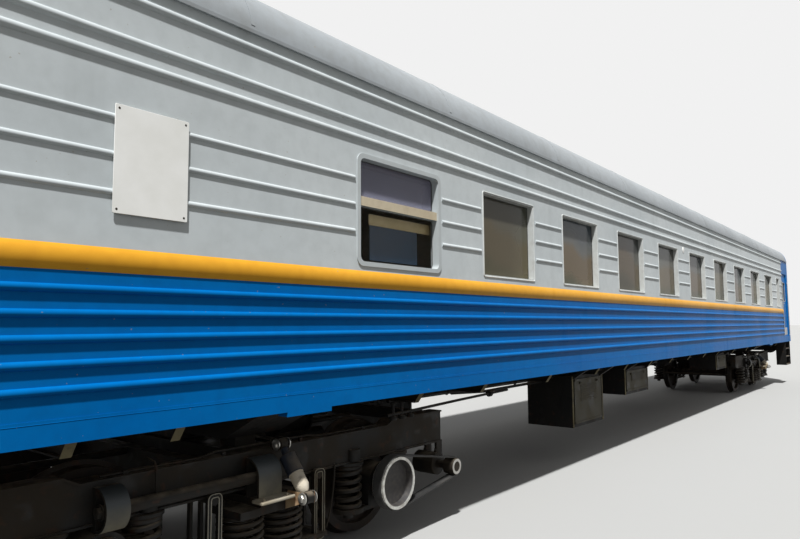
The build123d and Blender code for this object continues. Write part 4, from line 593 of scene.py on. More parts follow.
def turned(mesh, profile, place, axis=UP, count=24):
    """Profile of (radius, distance along the axis) spun round the axis from place."""
    along = Vector(axis).normalized()
    side = along.orthogonal().normalized()
    up = along.cross(side)
    start = Vector(place)
    rings = []
    for radius, height in profile:
        rings.append(circle(start + along * height, side, up, max(radius, SHARP_TIP), count))
    bridge(mesh, rings)


print("Builders so far:", [build.__name__ for build in (bridge, tube, turned)])

# %% [markdown]
# ## Slabs
# Signs, lids and plates are sheets with a thickness. Each could be a box with a bevel modifier. Here
# it is skinned from an outline, because round corners and eased edges then come from one function.


# %% Slabs and outlines
def slab(mesh, outline, thickness, place, flat, up, edge=0.0):
    """Outline in (flat, up) metres round place, thickened both ways, with its edges eased."""
    flat, up = Vector(flat), Vector(up)
    out = flat.cross(up)
    centre = Vector(place)
    middle = Vector((sum(a for a, _ in outline), sum(b for _, b in outline))) / len(outline)
    rings = []
    for face, inset in ((-1, edge), (-1, 0.0), (1, 0.0), (1, edge)):
        offset = out * (thickness / 2 * face)
        if edge and inset == 0.0:
            offset -= out * (edge * face)
        ring = []
        for a, b in outline:
            inward = middle - Vector((a, b))
            inward *= inset / max(inward.length, TINY)
            ring.append(centre + offset + flat * (a + inward.x) + up * (b + inward.y))
        rings.append(ring)
    bridge(mesh, rings if edge else rings[1:3])


def box_outline(width, height):
    """Outline of a plain rectangle."""
    half_w, half_h = width / 2, height / 2
    return [(-half_w, -half_h), (half_w, -half_h), (half_w, half_h), (-half_w, half_h)]


def rounded(width, height, radius, steps=5):
    """Outline of a rectangle with round corners."""
    points = []
    for quarter, (x, y) in enumerate(((1, 1), (-1, 1), (-1, -1), (1, -1))):
        centre_x, centre_y = x * (width / 2 - radius), y * (height / 2 - radius)
        for step in range(steps + 1):
            turn = pi / 2 * (quarter + step / steps)
            points.append((centre_x + radius * cos(turn), centre_y + radius * sin(turn)))
    return points


def upright_ring(centre, flat, width, height, radius):
    """Path round a standing rectangle with round corners."""
    return [centre + flat * a + UP * b for a, b in rounded(width, height, radius, steps=6)]


print("Points of a rounded outline:", len(rounded(1.0, 1.0, 0.1)))

# %% [markdown]
# ## Nuts
# Every cover, foot and rod is held by hexagon nuts. One function draws them all: a washer, a nut and
# the end of the bolt, as shares of one size.

# %% Nuts
WASHER = ((1.0, 0.0), (1.0, 0.2))
NUT = ((0.8, 0.2), (0.8, 0.9), (0.7, 1.0))
BOLT_END = ((0.42, 0.9), (0.42, 1.4), (0.3, 1.5))


def bolt(mesh, place, axis, size):
    """Hexagon nut with a washer and the end of its bolt."""
    for profile, count in ((WASHER, 16), (NUT, 6), (BOLT_END, 10)):
        turned(mesh, [(size * radius, size * height) for radius, height in profile], place, axis, count)


print("A nut is", NUT[-1][1], "of its washer's radius high")

# %% [markdown]
# ## Pieces and what carries them
# A piece is a mesh with a finish, and it rides on one body, so that it moves when that body does.
# Each piece could be made and parented on its own. One function does it for all of them, so that
# none can be forgotten and left behind at a pose.

# %% Making a piece
SHARP_ANGLE = radians(38)


def piece(name, build, slot, body, smooth=True, stands_for=()):
    """Makes the mesh that build(mesh) draws, gives it the slot's finish and lets it ride on a body."""
    mesh = bmesh.new()
    build(mesh)
    bmesh.ops.recalc_face_normals(mesh, faces=mesh.faces)
    data = bpy.data.meshes.new(name)
    mesh.to_mesh(data)
    mesh.free()
    made = bpy.data.objects.new(name, data)
    bpy.context.scene.collection.objects.link(made)
    data.materials.append(finish[slot])
    if smooth:
        data.polygons.foreach_set("use_smooth", [True] * len(data.polygons))
        data.set_sharp_from_angle(angle=SHARP_ANGLE)
    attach(made, body)
    if stands_for:
        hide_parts(*stands_for)
    return made


# %% [markdown]
# ## Finding solids
# A node may hold many solids, such as all the springs of a bogie. Their places could be typed in, but
# a typed place goes stale when the frame changes. So `point_groups` walks along the edges of a
# node's mesh and tells its solids apart.

# %% Finding solids
SAME_POINT = 1e-5


def point_groups(node):
    """Points of each separate solid of a node; a dict keeps them in the same order each run."""
    mesh = bmesh.new()
    mesh.from_mesh(nodes[node].data)
    bmesh.ops.remove_doubles(mesh, verts=mesh.verts, dist=SAME_POINT)
    left = dict.fromkeys(mesh.verts)
    groups = []
    while left:
        group, edge = [], [left.popitem()[0]]
        while edge:
            vert = edge.pop()
            group.append(vert.co.copy())
            for link in vert.link_edges:
                other = link.other_vert(vert)
                if other in left:
                    del left[other]
                    edge.append(other)
        groups.append(group)
    mesh.free()
    return groups


def corners_of(points):
    """Lowest and highest corner of a box round some points."""
    low = Vector(min(point[axis] for point in points) for axis in range(3))
    high = Vector(max(point[axis] for point in points) for axis in range(3))
    return low, high


def solids(node):
    """Lowest and highest corner of each separate solid of a node, sorted by place."""
    return sorted((corners_of(points) for points in point_groups(node)), key=lambda pair: tuple(pair[0]))


print("Springs of the first bogie:", len(solids("bogie_springs_1")))

# %% [markdown]
# ## Springs
# The frame holds each spring as a stack of plain turns. Here each becomes a real coil: a round bar
# that climbs in a helix, flattened to a closed turn at both ends so that it can stand on its seat.
# The wide springs at the bolster are nests, with a thinner coil inside.

# %% Coil springs
NEST_WIDTH = 0.26
BOX_TURNS, NEST_TURNS, STACK_ENDS = 5.0, 5.5, 0.6
BAR_SHARE = 0.60
COIL_STEPS = 20
END_TURN, FLAT_RISE = 0.75, 0.1
INNER_BAR, INNER_INSET = 0.6, 1.4


def coil(mesh, low, high, turns, bar, inset=0.0):
    """Helical spring that fills a solid's box, with its end turns closed."""
    centre = (low + high) / 2
    radius = (high.y - low.y) / 2 - bar / 2 - inset
    lift = high.z - low.z - bar
    path = []
    for i in range(int(turns * COIL_STEPS) + 1):
        turn = i / COIL_STEPS
        middle = min(max((turn - END_TURN) / (turns - 2 * END_TURN), 0.0), 1.0)
        rise = (1 - FLAT_RISE) * middle + FLAT_RISE * turn / turns
        x, y = centre.x + radius * cos(tau * turn), centre.y + radius * sin(tau * turn)
        path.append((x, y, low.z + bar / 2 + lift * rise))
    tube(mesh, path, bar / 2)


def draw_coils(node):
    """Round wire for every block of one bogie's springs, a thinner coil inside each wide one."""

    def draw(mesh):
        for low, high in solids(node):
            nested = high.x - low.x > NEST_WIDTH
            turns = NEST_TURNS if nested else BOX_TURNS
            bar = (high.z - low.z) / (turns + STACK_ENDS) * BAR_SHARE
            coil(mesh, low, high, turns + 1, bar)
            if nested:
                coil(mesh, low, high, turns + 2, bar * INNER_BAR, bar * INNER_INSET)

    return draw


for number in (1, 2):
    stack, body = f"bogie_springs_{number}", f"bogie_{number}"
    piece(f"coil_springs_{number}", draw_coils(stack), "spring_steel", body, stands_for=(stack,))
print("Coils stand for", len(solids("bogie_springs_1")), "stacks a bogie")

# %% [markdown]
# ## Berths
# Every berth is a padded board. The pad is sewn round its edge, so it bulges between its corners.
# A box with leaning sides is blown up a little as cloth, one for each kind of berth, and copies of
# it stand where the solids are. Cloth is chosen over a bevelled box, because it bulges as a pad does.

# %% The pad before it is filled
PAD_THICKNESS, PAD_CELL, PAD_SLACK = 0.09, 0.045, 0.02
BOARD_THICKNESS = 0.02
LEVELS = (-0.5, -0.2, 0.2, 0.5)
END_LEAN, MIDDLE_LEAN = 0.012, 0.006


def pad_mesh(length, width, thickness):
    """Closed box of square cells whose sides lean in, as the start for the cloth."""
    mesh = bmesh.new()
    columns, rows = round(length / PAD_CELL), round(width / PAD_CELL)
    top = len(LEVELS) - 1
    grid = {}

    def vert(i, j, k):
        if (i, j, k) not in grid:
            lean = END_LEAN if k in (0, top) else MIDDLE_LEAN
            x = (i / columns - 0.5) * (length - 2 * lean)
            y = (j / rows - 0.5) * (width - 2 * lean)
            grid[i, j, k] = mesh.verts.new((x, y, LEVELS[k] * (thickness - PAD_SLACK)))
        return grid[i, j, k]

    def face(corner, first, second):
        """Square from a corner of the grid, one step along each of two directions."""
        (i, j, k), (a, b, c), (d, e, f) = corner, first, second
        steps = ((0, 0, 0), first, (a + d, b + e, c + f), second)
        mesh.faces.new([vert(i + x, j + y, k + z) for x, y, z in steps])

    for i in range(columns):
        for j in range(rows):
            for k in (0, top):
                face((i, j, k), (1, 0, 0), (0, 1, 0))
    for k in range(top):
        for i in range(columns):
            for j in (0, rows):
                face((i, j, k), (1, 0, 0), (0, 0, 1))
        for j in range(rows):
            for i in (0, columns):
                face((i, j, k), (0, 1, 0), (0, 0, 1))
    bmesh.ops.recalc_face_normals(mesh, faces=mesh.faces)
    return mesh


print("Cells are", PAD_CELL, "m wide")

# %% [markdown]
# ## Filling the pad
# Foam pushes a cover out in its middle and leaves its seams where they are. Sculpting that would be
# guesswork, so the cloth solver blows the box up for a few frames, without gravity. No point may move
# further than a cap, so that the pad still fits its berth.

# %% Filling the pad
PAD_PRESSURE, CLOTH_FRAMES, PAD_CAP = 4.0, 20, 0.014


def blown_pad(length, width, thickness):
    """Points and faces of one berth pad after a short cloth run with some air in it."""
    mesh = pad_mesh(length, width, thickness)
    data = bpy.data.meshes.new("pad_start")
    mesh.to_mesh(data)
    mesh.free()
    starts = [vert.co.copy() for vert in data.vertices]
    faces = [tuple(face.vertices) for face in data.polygons]
    pad = bpy.data.objects.new("pad_start", data)
    bpy.context.scene.collection.objects.link(pad)
    cloth = pad.modifiers.new("cloth", "CLOTH").settings
    cloth.use_pressure = True
    cloth.uniform_pressure_force = PAD_PRESSURE
    cloth.effector_weights.gravity = 0.0
    for step in range(CLOTH_FRAMES):
        bpy.context.scene.frame_set(step + 1)
    swollen = pad.evaluated_get(bpy.context.evaluated_depsgraph_get()).to_mesh()
    points = []
    for start, vert in zip(starts, swollen.vertices):
        move = vert.co - start
        points.append(start + move * min(1.0, PAD_CAP / max(move.length, TINY)))
    bpy.context.scene.frame_set(1)
    bpy.data.objects.remove(pad)
    return points, faces


def laid_pads(shape, spots):
    """Copies of one pad, scaled to fit inside each box of its berth."""
    points, faces = shape
    reach = Vector(max(abs(point[axis]) for point in points) for axis in range(3))

    def draw(mesh):
        for low, high in spots:
            centre, half = (low + high) / 2, (high - low) / 2
            fit = [half[axis] / reach[axis] for axis in range(3)]
            placed = [centre + Vector(point[axis] * fit[axis] for axis in range(3)) for point in points]
            verts = [mesh.verts.new(point) for point in placed]
            for face in faces:
                mesh.faces.new([verts[i] for i in face])

    return draw


print("No point of a pad swells by more than", PAD_CAP, "m")

# %% [markdown]
# ## Pads and boards
# A pad lies on a plain board. Each solid of the berths is parted by height into these two, and they
# stand in its place together. All pads of one kind share one blown shape, because the real ones are
# alike and one cloth run is quick.

# %% Berth pads and boards
BOARD_EDGE = 0.004


def berth_boxes():
    """Pads of the bay and the side berths, and the boards and boxes that carry them."""
    groups = {"bay": [], "side": []}
    carriers = []
    for low, high in solids("berths"):
        kind = "bay" if low.y < 0 else "side"
        pad_low = Vector((low.x, low.y, high.z - PAD_THICKNESS + BOARD_THICKNESS))
        groups[kind].append((pad_low, high))
        carriers.append((low, Vector((high.x, high.y, pad_low.z))))
    return groups, carriers


pads, boards = berth_boxes()
for kind, spots in pads.items():
    size = spots[0][1] - spots[0][0]
    shape = blown_pad(size.x, size.y, size.z)
    made = piece(f"{kind}_berth_pads", laid_pads(shape, spots), "berth_vinyl", CAR)


def draw_boards(mesh):
    """Every berth board, with its edges eased."""
    for low, high in boards:
        centre, size = (low + high) / 2, high - low
        slab(mesh, box_outline(size.x, size.y), size.z, centre, ALONG, ACROSS, edge=BOARD_EDGE)


piece("berth_boards", draw_boards, "cabin_panel", CAR, smooth=False, stands_for=("berths",))
print("Berth pads:", {kind: len(spots) for kind, spots in pads.items()})

# %% [markdown]
# ## Signs
# One large enamelled sign is screwed over the ribs, on spacers, and a small round one sits above the
# windows. Both are blank. A sign is a thin sheet with eased edges, so that light catches its rim.

# %% Sign plates
WALL_FACE_Y = 1.5325
SIGN_LOW, SIGN_HIGH = Vector((-9.928, 0.0, 2.411)), Vector((-9.486, 0.0, 3.000))
SIGN_Y, SIGN_THICKNESS, SIGN_CORNER, SIGN_EDGE = -1.5485, 0.006, 0.006, 0.0015
SIGN_STANDOFF = 0.006
SCREW_INSET, SCREW_HEAD = 0.022, ((0.007, 0.0), (0.006, 0.0008))
SPACER_RADIUS = 0.008
DISC_X, DISC_Z, DISC_RADIUS = 0.52, 3.125, 0.055
DISC_RIM, DISC_THICKNESS, DISC_LIFT = 0.92, (0.005, 0.007), 0.001


def draw_sign(mesh):
    """The sign's plate, with round corners and a bevelled edge."""
    centre = (SIGN_LOW + SIGN_HIGH) / 2
    centre.y = SIGN_Y
    size = SIGN_HIGH - SIGN_LOW
    plate = rounded(size.x, size.z, SIGN_CORNER, steps=2)
    slab(mesh, plate, SIGN_THICKNESS, centre, ALONG, UP, edge=SIGN_EDGE)


def draw_sign_screws(mesh):
    """A screw head on the sign and a spacer behind it, at each corner."""
    face_y = SIGN_Y - SIGN_THICKNESS / 2
    spacer = [(SPACER_RADIUS, 0.0), (SPACER_RADIUS, SIGN_STANDOFF * 2)]
    for x in (SIGN_LOW.x + SCREW_INSET, SIGN_HIGH.x - SCREW_INSET):
        for z in (SIGN_LOW.z + SCREW_INSET, SIGN_HIGH.z - SCREW_INSET):
            turned(mesh, SCREW_HEAD, (x, face_y, z), -ACROSS, count=12)
            turned(mesh, spacer, (x, face_y + SIGN_STANDOFF, z), ACROSS, count=12)


def draw_disc(mesh):
    """A flat disc on the wall, with a slope at its edge."""
    side, rim = DISC_THICKNESS
    profile = [(DISC_RADIUS, 0.0), (DISC_RADIUS, side), (DISC_RADIUS * DISC_RIM, rim)]
    turned(mesh, profile, (DISC_X, DISC_LIFT - WALL_FACE_Y, DISC_Z), -ACROSS, count=32)


piece("blank_sign", draw_sign, "sign_enamel", CAR)
piece("sign_screws", draw_sign_screws, "dark_fittings", CAR)
piece("blank_disc", draw_disc, "sign_enamel", CAR)
print("Sign size:", [round(v, 3) for v in SIGN_HIGH - SIGN_LOW])

# %% [markdown]
# ## Crew window board
# Behind the lower pane of the crew window stands a plain board with a header over it. Each is a thin
# card with round corners. A flat plane would do from the front, but a card also holds up from the side.

# %% Crew window board
CREW_WINDOW_X = -7.493
BEHIND_GLASS_Y = -1.405
# Middle and size of the board and of the header over it: along the coach, then up
BOARD_SPOT, BOARD_SIZE = (-7.440, 2.478), (0.622, 0.290)
HEADER_SPOT, HEADER_SIZE, HEADER_FORWARD = (-7.360, 2.660), (0.815, 0.088), 0.006
CARD_CORNER, CARD_THICKNESS, CARD_EDGE = 0.008, 0.004, 0.001


def draw_card(spot_xz, size, forward=0.0):
    """A card behind the crew window's glass, with round corners."""

    def draw(mesh):
        place = (spot_xz[0], BEHIND_GLASS_Y - forward, spot_xz[1])
        slab(mesh, rounded(*size, CARD_CORNER, steps=2), CARD_THICKNESS, place, ALONG, UP, edge=CARD_EDGE)

    return draw


piece("window_board", draw_card(BOARD_SPOT, BOARD_SIZE), "board_teal", CAR)
piece("window_board_header", draw_card(HEADER_SPOT, HEADER_SIZE, HEADER_FORWARD), "board_cream", CAR)
print("Board size:", BOARD_SIZE)

# %% [markdown]
# ## Crew window lining
# The upper pane has a varnished lining on the cabin side, and a weathered cream bar parts the two
# panes. The lining is a closed loop of small rings, because a frame cut from a slab would need a hole.

# %% Crew window lining
CREW_PANE_LOW, CREW_PANE_HIGH = Vector((-7.999, 0.0, 2.804)), Vector((-6.987, 0.0, 3.098))
LINING_THICKNESS, LINING_CORNER = 0.022, 0.045
LINING_Y = (1.458, 1.372)
TRANSOM_Z, TRANSOM_HEIGHT = 2.768, 0.072
TRANSOM_FACE_Y, TRANSOM_SKIN, TRANSOM_EDGE = 1.5195, 0.002, 0.0008


def draw_lining(mesh):
    """Varnished wood round the upper crew pane, on the cabin side of the glass."""
    size, centre = CREW_PANE_HIGH - CREW_PANE_LOW, (CREW_PANE_LOW + CREW_PANE_HIGH) / 2
    thin = 2 * LINING_THICKNESS
    outer = rounded(size.x, size.z, LINING_CORNER)
    inner = rounded(size.x - thin, size.z - thin, LINING_CORNER - LINING_THICKNESS)
    for side in (-1, 1):
        near, far = (side * y for y in LINING_Y)
        rings = []
        for (a, b), (c, d) in zip(outer, inner):
            out_x, out_z, in_x, in_z = centre.x + a, centre.z + b, centre.x + c, centre.z + d
            rings.append([(out_x, near, out_z), (out_x, far, out_z), (in_x, far, in_z), (in_x, near, in_z)])
        bridge(mesh, rings, loop=True)


def draw_transoms(mesh):
    """Weathered cream face of the bar between the two crew panes."""
    face = box_outline(CREW_PANE_HIGH.x - CREW_PANE_LOW.x, TRANSOM_HEIGHT)
    for side in (-1, 1):
        place = (CREW_WINDOW_X, side * TRANSOM_FACE_Y, TRANSOM_Z)
        slab(mesh, face, TRANSOM_SKIN, place, ALONG, UP, edge=TRANSOM_EDGE)


piece("crew_window_lining", draw_lining, "varnished_wood", CAR)
piece("crew_transoms", draw_transoms, "transom_cream", CAR, smooth=False)
print("Upper crew pane:", [round(v, 3) for v in CREW_PANE_HIGH - CREW_PANE_LOW])

# %% [markdown]
# ## Running gear details
# The frame has the beams, hoops, boxes and rods. What is added here is what holds them together, and
# what the eye finds first in the shade: the end of the damper and the hood beside it, both pale low
# down as painted sunlight. Both bogies are alike, so each function draws for a centre, and a place on
# one side is turned half a turn for the other.

# %% Bogie places
BOGIES = {name: Vector(joints[f"{name}_swivel"]["pos_m"]) for name in ("bogie_1", "bogie_2")}
AXLES = [Vector(joints[f"wheelset_{i}_spin"]["pos_m"]) for i in (1, 2, 3, 4)]
BOX_FACE_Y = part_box("bogie_axleboxes_1")[1].y


def mirrored(x, out, z):
    """A place beside a bogie on the -Y side, and the same place half a turn round, on +Y."""
    return ((Vector((x, -out, z)), -1), (Vector((-x, out, z)), 1))


print("Bogie centres:", {name: round(place.x, 3) for name, place in BOGIES.items()})

# %% [markdown]
# ## Axle box covers
# Each axle turns in a box, which a round cover and a ring of nuts close. A bump map could stand for
# the nuts. Real ones are used, because the camera is near enough to see them stand out in profile.

# %% Axle box covers
COVER_CAP = ((0.060, -0.001), (0.060, 0.006), (0.050, 0.010), (0.012, 0.012))
COVER_BOLT_RING, COVER_BOLTS, COVER_BOLT_SIZE = 0.100, 6, 0.014


def draw_axlebox_bolts(axles, pulley_at):
    """Domed cap and ring of nuts on each axle box cover."""

    def draw(mesh):
        for axle in axles:
            for side in (-1, 1):
                if pulley_at == (axle.x, side):
                    continue
                face = Vector((axle.x, side * BOX_FACE_Y, axle.z))
                turned(mesh, COVER_CAP, face, ACROSS * side, count=28)
                for i in range(COVER_BOLTS):
                    turn = tau * (i + 0.5) / COVER_BOLTS
                    place = face + Vector((cos(turn), 0, sin(turn))) * COVER_BOLT_RING
                    bolt(mesh, place, ACROSS * side, COVER_BOLT_SIZE)

    return draw


print("Nuts on a cover:", COVER_BOLTS)

# %% [markdown]
# ## Hoop and hood
# A hoop on the frame and a hood on the bolster bend over the ends of the leash rod. Their faces are
# pale low down as painted sunlight below the body's shadow, so each gets a thin skin that follows the
# bend: an arc, and for the hood a leg below.

# %% Hoop and hood
# Metres from the bogie's centre
STRAP_BASE_Y, STRAP_RADIUS, STRAP_SKIN, STRAP_GAP = 1.121, 0.125, 0.0015, 0.0002
ROD_HEIGHT, ROD_Y = 0.780, 1.1755
HOOP_X, HOOP_WIDTH = -1.180, 0.140
HOOD_X, HOOD_WIDTH, HOOD_FOOT_Z = -0.100, 0.200, 0.651
ARC_STEPS = 14


def strap(mesh, path, x_low, x_high, side):
    """Thin band whose path is given as (distance out, height), bent over the face of a solid one."""
    points = [Vector((0, out, z)) for out, z in path]
    rings = []
    for i, point in enumerate(points):
        along = (points[min(i + 1, len(points) - 1)] - points[max(i - 1, 0)]).normalized()
        outward = -along.cross(ALONG)
        inner, outer = point + outward * STRAP_GAP, point + outward * STRAP_SKIN
        corners = ((x_low, inner), (x_high, inner), (x_high, outer), (x_low, outer))
        rings.append([Vector((x, side * p.y, p.z)) for x, p in corners])
    bridge(mesh, rings)


def strap_arc(low_turn):
    """Arc from the top of a strap down to an angle."""
    turns = [pi / 2 + (low_turn - pi / 2) * i / ARC_STEPS for i in range(ARC_STEPS + 1)]
    return [(STRAP_BASE_Y + STRAP_RADIUS * cos(t), ROD_HEIGHT + STRAP_RADIUS * sin(t)) for t in turns]


def draw_straps(centre):
    """Faces of the frame's hoop and of the bolster's hood, pale low down as painted sunlight."""
    hood = strap_arc(0.0) + [(STRAP_BASE_Y + STRAP_RADIUS, HOOD_FOOT_Z)]

    def draw(mesh):
        for x, width, path in ((HOOP_X, HOOP_WIDTH, strap_arc(-pi / 2)), (HOOD_X, HOOD_WIDTH, hood)):
            for place, side in mirrored(x, 0.0, 0.0):
                middle = centre.x + place.x
                strap(mesh, path, middle - width / 2, middle + width / 2, side)

    return draw


print("The straps bend round", STRAP_RADIUS, "m")

# %% [markdown]
# ## Feet and nuts
# The hood stands on a broad plate, pale as painted sunlight, and the leash rod ends in large nuts.
# They are placed by the hood's and the hoop's own numbers, so that they stay together in an edit.

# %% Hood feet and rod nuts
FOOT_X, FOOT_LENGTH, FOOT_Y = -0.120, 0.290, (1.248, 1.368)
FOOT_THICKNESS, FOOT_DROP, FOOT_CORNER, FOOT_EDGE = 0.018, 0.006, 0.012, 0.003
FOOT_BOLT_X, FOOT_BOLT_OUT, FOOT_BOLT_SIZE = 0.10, 0.02, 0.011
ROD_WASHER = ((0.046, 0.0), (0.046, 0.006))
ROD_NUT = ((0.034, 0.005), (0.034, 0.026), (0.028, 0.030))


def draw_hood_feet(centre):
    """Broad plate under the hood, with its two bolts, pale as painted sunlight."""
    plate = rounded(FOOT_LENGTH, FOOT_Y[1] - FOOT_Y[0], FOOT_CORNER, steps=3)

    def draw(mesh):
        for place, side in mirrored(FOOT_X, (FOOT_Y[0] + FOOT_Y[1]) / 2, HOOD_FOOT_Z - FOOT_DROP):
            at = centre + place
            slab(mesh, plate, FOOT_THICKNESS, at, ALONG, ACROSS, edge=FOOT_EDGE)
            for x in (-FOOT_BOLT_X, FOOT_BOLT_X):
                bolt(mesh, at + Vector((x, side * FOOT_BOLT_OUT, FOOT_THICKNESS / 2)), UP, FOOT_BOLT_SIZE)

    return draw


def draw_rod_nuts(centre):
    """Washer and nut on both ends of each leash rod."""

    def draw(mesh):
        for x, out in ((HOOP_X - HOOP_WIDTH / 2, -1), (HOOD_X + HOOD_WIDTH / 2, 1)):
            for place, side in mirrored(x, ROD_Y, ROD_HEIGHT):
                turned(mesh, ROD_WASHER, centre + place, ALONG * (out * -side), count=24)
                turned(mesh, ROD_NUT, centre + place, ALONG * (out * -side), count=6)

    return draw


print("Hood foot:", FOOT_LENGTH, "m long")

# %% [markdown]
# ## Dampers
# A damper is two tubes, one sliding in the other. The lower one is pale as painted sunlight, and the
# sleeve is dark blue as painted shade.
# Both could be cylinders turned by hand. They are profiles spun round the line between the damper's
# two eyes, because then they keep its slope.

# %% Dampers
DAMPER_X = 0.080
# Eyes: distance out and height
DAMPER_LOW, DAMPER_HIGH = (1.426, 0.630), (1.145, 0.965)
DAMPER_NECK, DAMPER_BODY = 0.100, 0.095
BODY_RADIUS, SLEEVE_RADIUS = 0.050 + STRAP_SKIN, 0.058 + STRAP_SKIN
SHOULDER = ((0.024, 0.040), (0.036, 0.054), (0.044, 0.072), (BODY_RADIUS, 0.090))
# Radius over the tube's and distance past the tube's end
RING = ((0.0, -0.014), (0.003, -0.012), (0.003, -0.004), (0.0, -0.002))
LIP = ((-0.006, -0.001), (0.0015, 0.0), (0.0015, 0.008), (0.0, 0.011))
SLEEVE_TOP = ((0.0, -0.006), (-0.008, 0.002))
NECK_TOP, NECK_END = (0.030, 0.006), (0.026, -0.044)


def damper_lines(centre):
    """Lower eye, direction, length and side of the two dampers of a bogie."""
    for (low, side), (high, _) in zip(mirrored(DAMPER_X, *DAMPER_LOW), mirrored(DAMPER_X, *DAMPER_HIGH)):
        yield centre + low, (high - low).normalized(), (high - low).length, side


def draw_damper_bodies(centre):
    """Lower tube, pale as painted sunlight, with its shoulder and the ring where it enters the sleeve."""
    end = DAMPER_NECK + DAMPER_BODY
    profile = [*SHOULDER, *((BODY_RADIUS + radius, end + past) for radius, past in RING)]

    def draw(mesh):
        for eye, along, _, _ in damper_lines(centre):
            turned(mesh, profile, eye, along, count=28)

    return draw


def draw_damper_sleeves(centre):
    """Sleeve, dark blue as painted shade, with its rolled lip and its upper neck."""
    start = DAMPER_NECK + DAMPER_BODY
    lip = [(SLEEVE_RADIUS + radius, start + past) for radius, past in LIP]

    def draw(mesh):
        for eye, along, length, _ in damper_lines(centre):
            top = length - DAMPER_NECK
            cap = [(SLEEVE_RADIUS + radius, top + past) for radius, past in SLEEVE_TOP]
            neck = [(NECK_TOP[0], top + NECK_TOP[1]), (NECK_END[0], length + NECK_END[1])]
            turned(mesh, lip + cap + neck, eye, along, count=28)

    return draw


print("Damper length:", round(next(damper_lines(Vector()))[2], 3), "m between its eyes")

# %% [markdown]
# ## Damper eyes
# A damper hangs on a bolt through each eye, between two cheeks. A nut and its washer are both turned
# profiles, because only the number of sides tells them apart: six for one and many for the other.

# %% Damper eyes
LUG_OUTER, CHEEK = 0.0443, 0.003
# Cheek outline: distance out from the eye and height over it
CHEEK_OUTLINE = (
    (-0.176, -0.094), (-0.030, -0.040), (0.020, -0.038), (0.020, 0.038), (-0.150, 0.038), (-0.176, 0.006)
)
EYE_WASHER = ((0.042, 0.0), (0.042, 0.006), (0.034, 0.010))
EYE_NUT = ((0.025, 0.008), (0.025, 0.022), (0.020, 0.025))


def draw_damper_cheeks(centre):
    """Rusty, dusty cheeks over the lower bracket."""

    def draw(mesh):
        for eye, _, _, side in damper_lines(centre):
            for out in (-1, 1):
                place = eye + ALONG * (out * (LUG_OUTER + CHEEK / 2))
                slab(mesh, CHEEK_OUTLINE, CHEEK, place, ACROSS * side, UP)

    return draw


def draw_eye_bolts(centre):
    """Bright washers and nuts at both eyes."""

    def draw(mesh):
        for eye, along, length, _ in damper_lines(centre):
            for at in (eye, eye + along * length):
                for out in (-1, 1):
                    face = at + ALONG * (out * (LUG_OUTER + CHEEK))
                    turned(mesh, EYE_WASHER, face, ALONG * out, count=24)
                    turned(mesh, EYE_NUT, face, ALONG * out, count=6)

    return draw


print("The cheeks are", CHEEK, "m thick")

# %% [markdown]
# ## Bright edges
# Where steel rubs or is stepped on, its edge stays bright. The swing hangers get a thin pale line round
# their inner and outer edge, worn and also a painted highlight, and the small pulley gets a ring where
# the belts polish it.

# %% Hanger edges and driven pulley
HANGER_X, HANGER_FACE_Y = 0.470, 1.139
HANGER_LOW_Z, HANGER_TOP_Z = 0.198, 0.720
HANGER_WIDTH, HANGER_BAR = 0.104, 0.022
OUTER_CORNER, INNER_CORNER = 0.0347, 0.0173
EDGE_RADIUS = 0.0034
DRIVEN_X, DRIVEN_Z = 2.053, 0.494
DRIVEN_FACE_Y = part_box("drive_gearbox")[0].y
DRIVEN_RING = ((0.046, -0.001), (0.046, 0.002), (0.060, 0.003), (0.070, 0.002), (0.070, -0.001))


def draw_hanger_edges(centre):
    """Edges of the swing hangers, rubbed bright, with a painted highlight."""
    height, bars = HANGER_TOP_Z - HANGER_LOW_Z, 2 * HANGER_BAR
    loops = ((HANGER_WIDTH, height, OUTER_CORNER), (HANGER_WIDTH - bars, height - bars, INNER_CORNER))

    def draw(mesh):
        for x in (-HANGER_X, HANGER_X):
            for place, _ in mirrored(x, HANGER_FACE_Y, (HANGER_LOW_Z + HANGER_TOP_Z) / 2):
                for width, tall, corner in loops:
                    path = [centre + place + ALONG * a + UP * b for a, b in rounded(width, tall, corner)]
                    tube(mesh, path, EDGE_RADIUS, count=6, loop=True)

    return draw


def draw_driven_ring(mesh):
    """Rim that the belts keep bright on the small pulley."""
    place = (BOGIES["bogie_1"].x + DRIVEN_X, DRIVEN_FACE_Y, DRIVEN_Z)
    turned(mesh, DRIVEN_RING, place, -ACROSS, count=32)


piece("driven_pulley_ring", draw_driven_ring, "bolt_steel", "bogie_1")
print("Hanger height:", round(HANGER_TOP_Z - HANGER_LOW_Z, 3), "m")

# %% [markdown]
# ## Bogie pipes
# Brake air reaches the bogie by a pipe on each beam and a riser in front of the web. Bent safety
# straps catch a brake rod that falls. All are round bars along a path, so `tube` draws them.

# %% Bogie pipes
PIPE_RADIUS, PIPE_SIDES = 0.007, 8
BEAM_PIPE_Y, BEAM_PIPE_Z, HUMP_Z = 1.050, 0.950, 0.972
# Pipe on the beam: distance along and height
BEAM_PIPE = (
    (-1.20, BEAM_PIPE_Z), (-0.55, BEAM_PIPE_Z), (-0.42, HUMP_Z),
    (0.42, HUMP_Z), (0.55, BEAM_PIPE_Z), (1.24, BEAM_PIPE_Z),
)
CLIP_XS, CLIP_SIZE, CLIP_EDGE = (-1.05, -0.35, 0.35, 1.05), (0.030, 0.024), 0.002
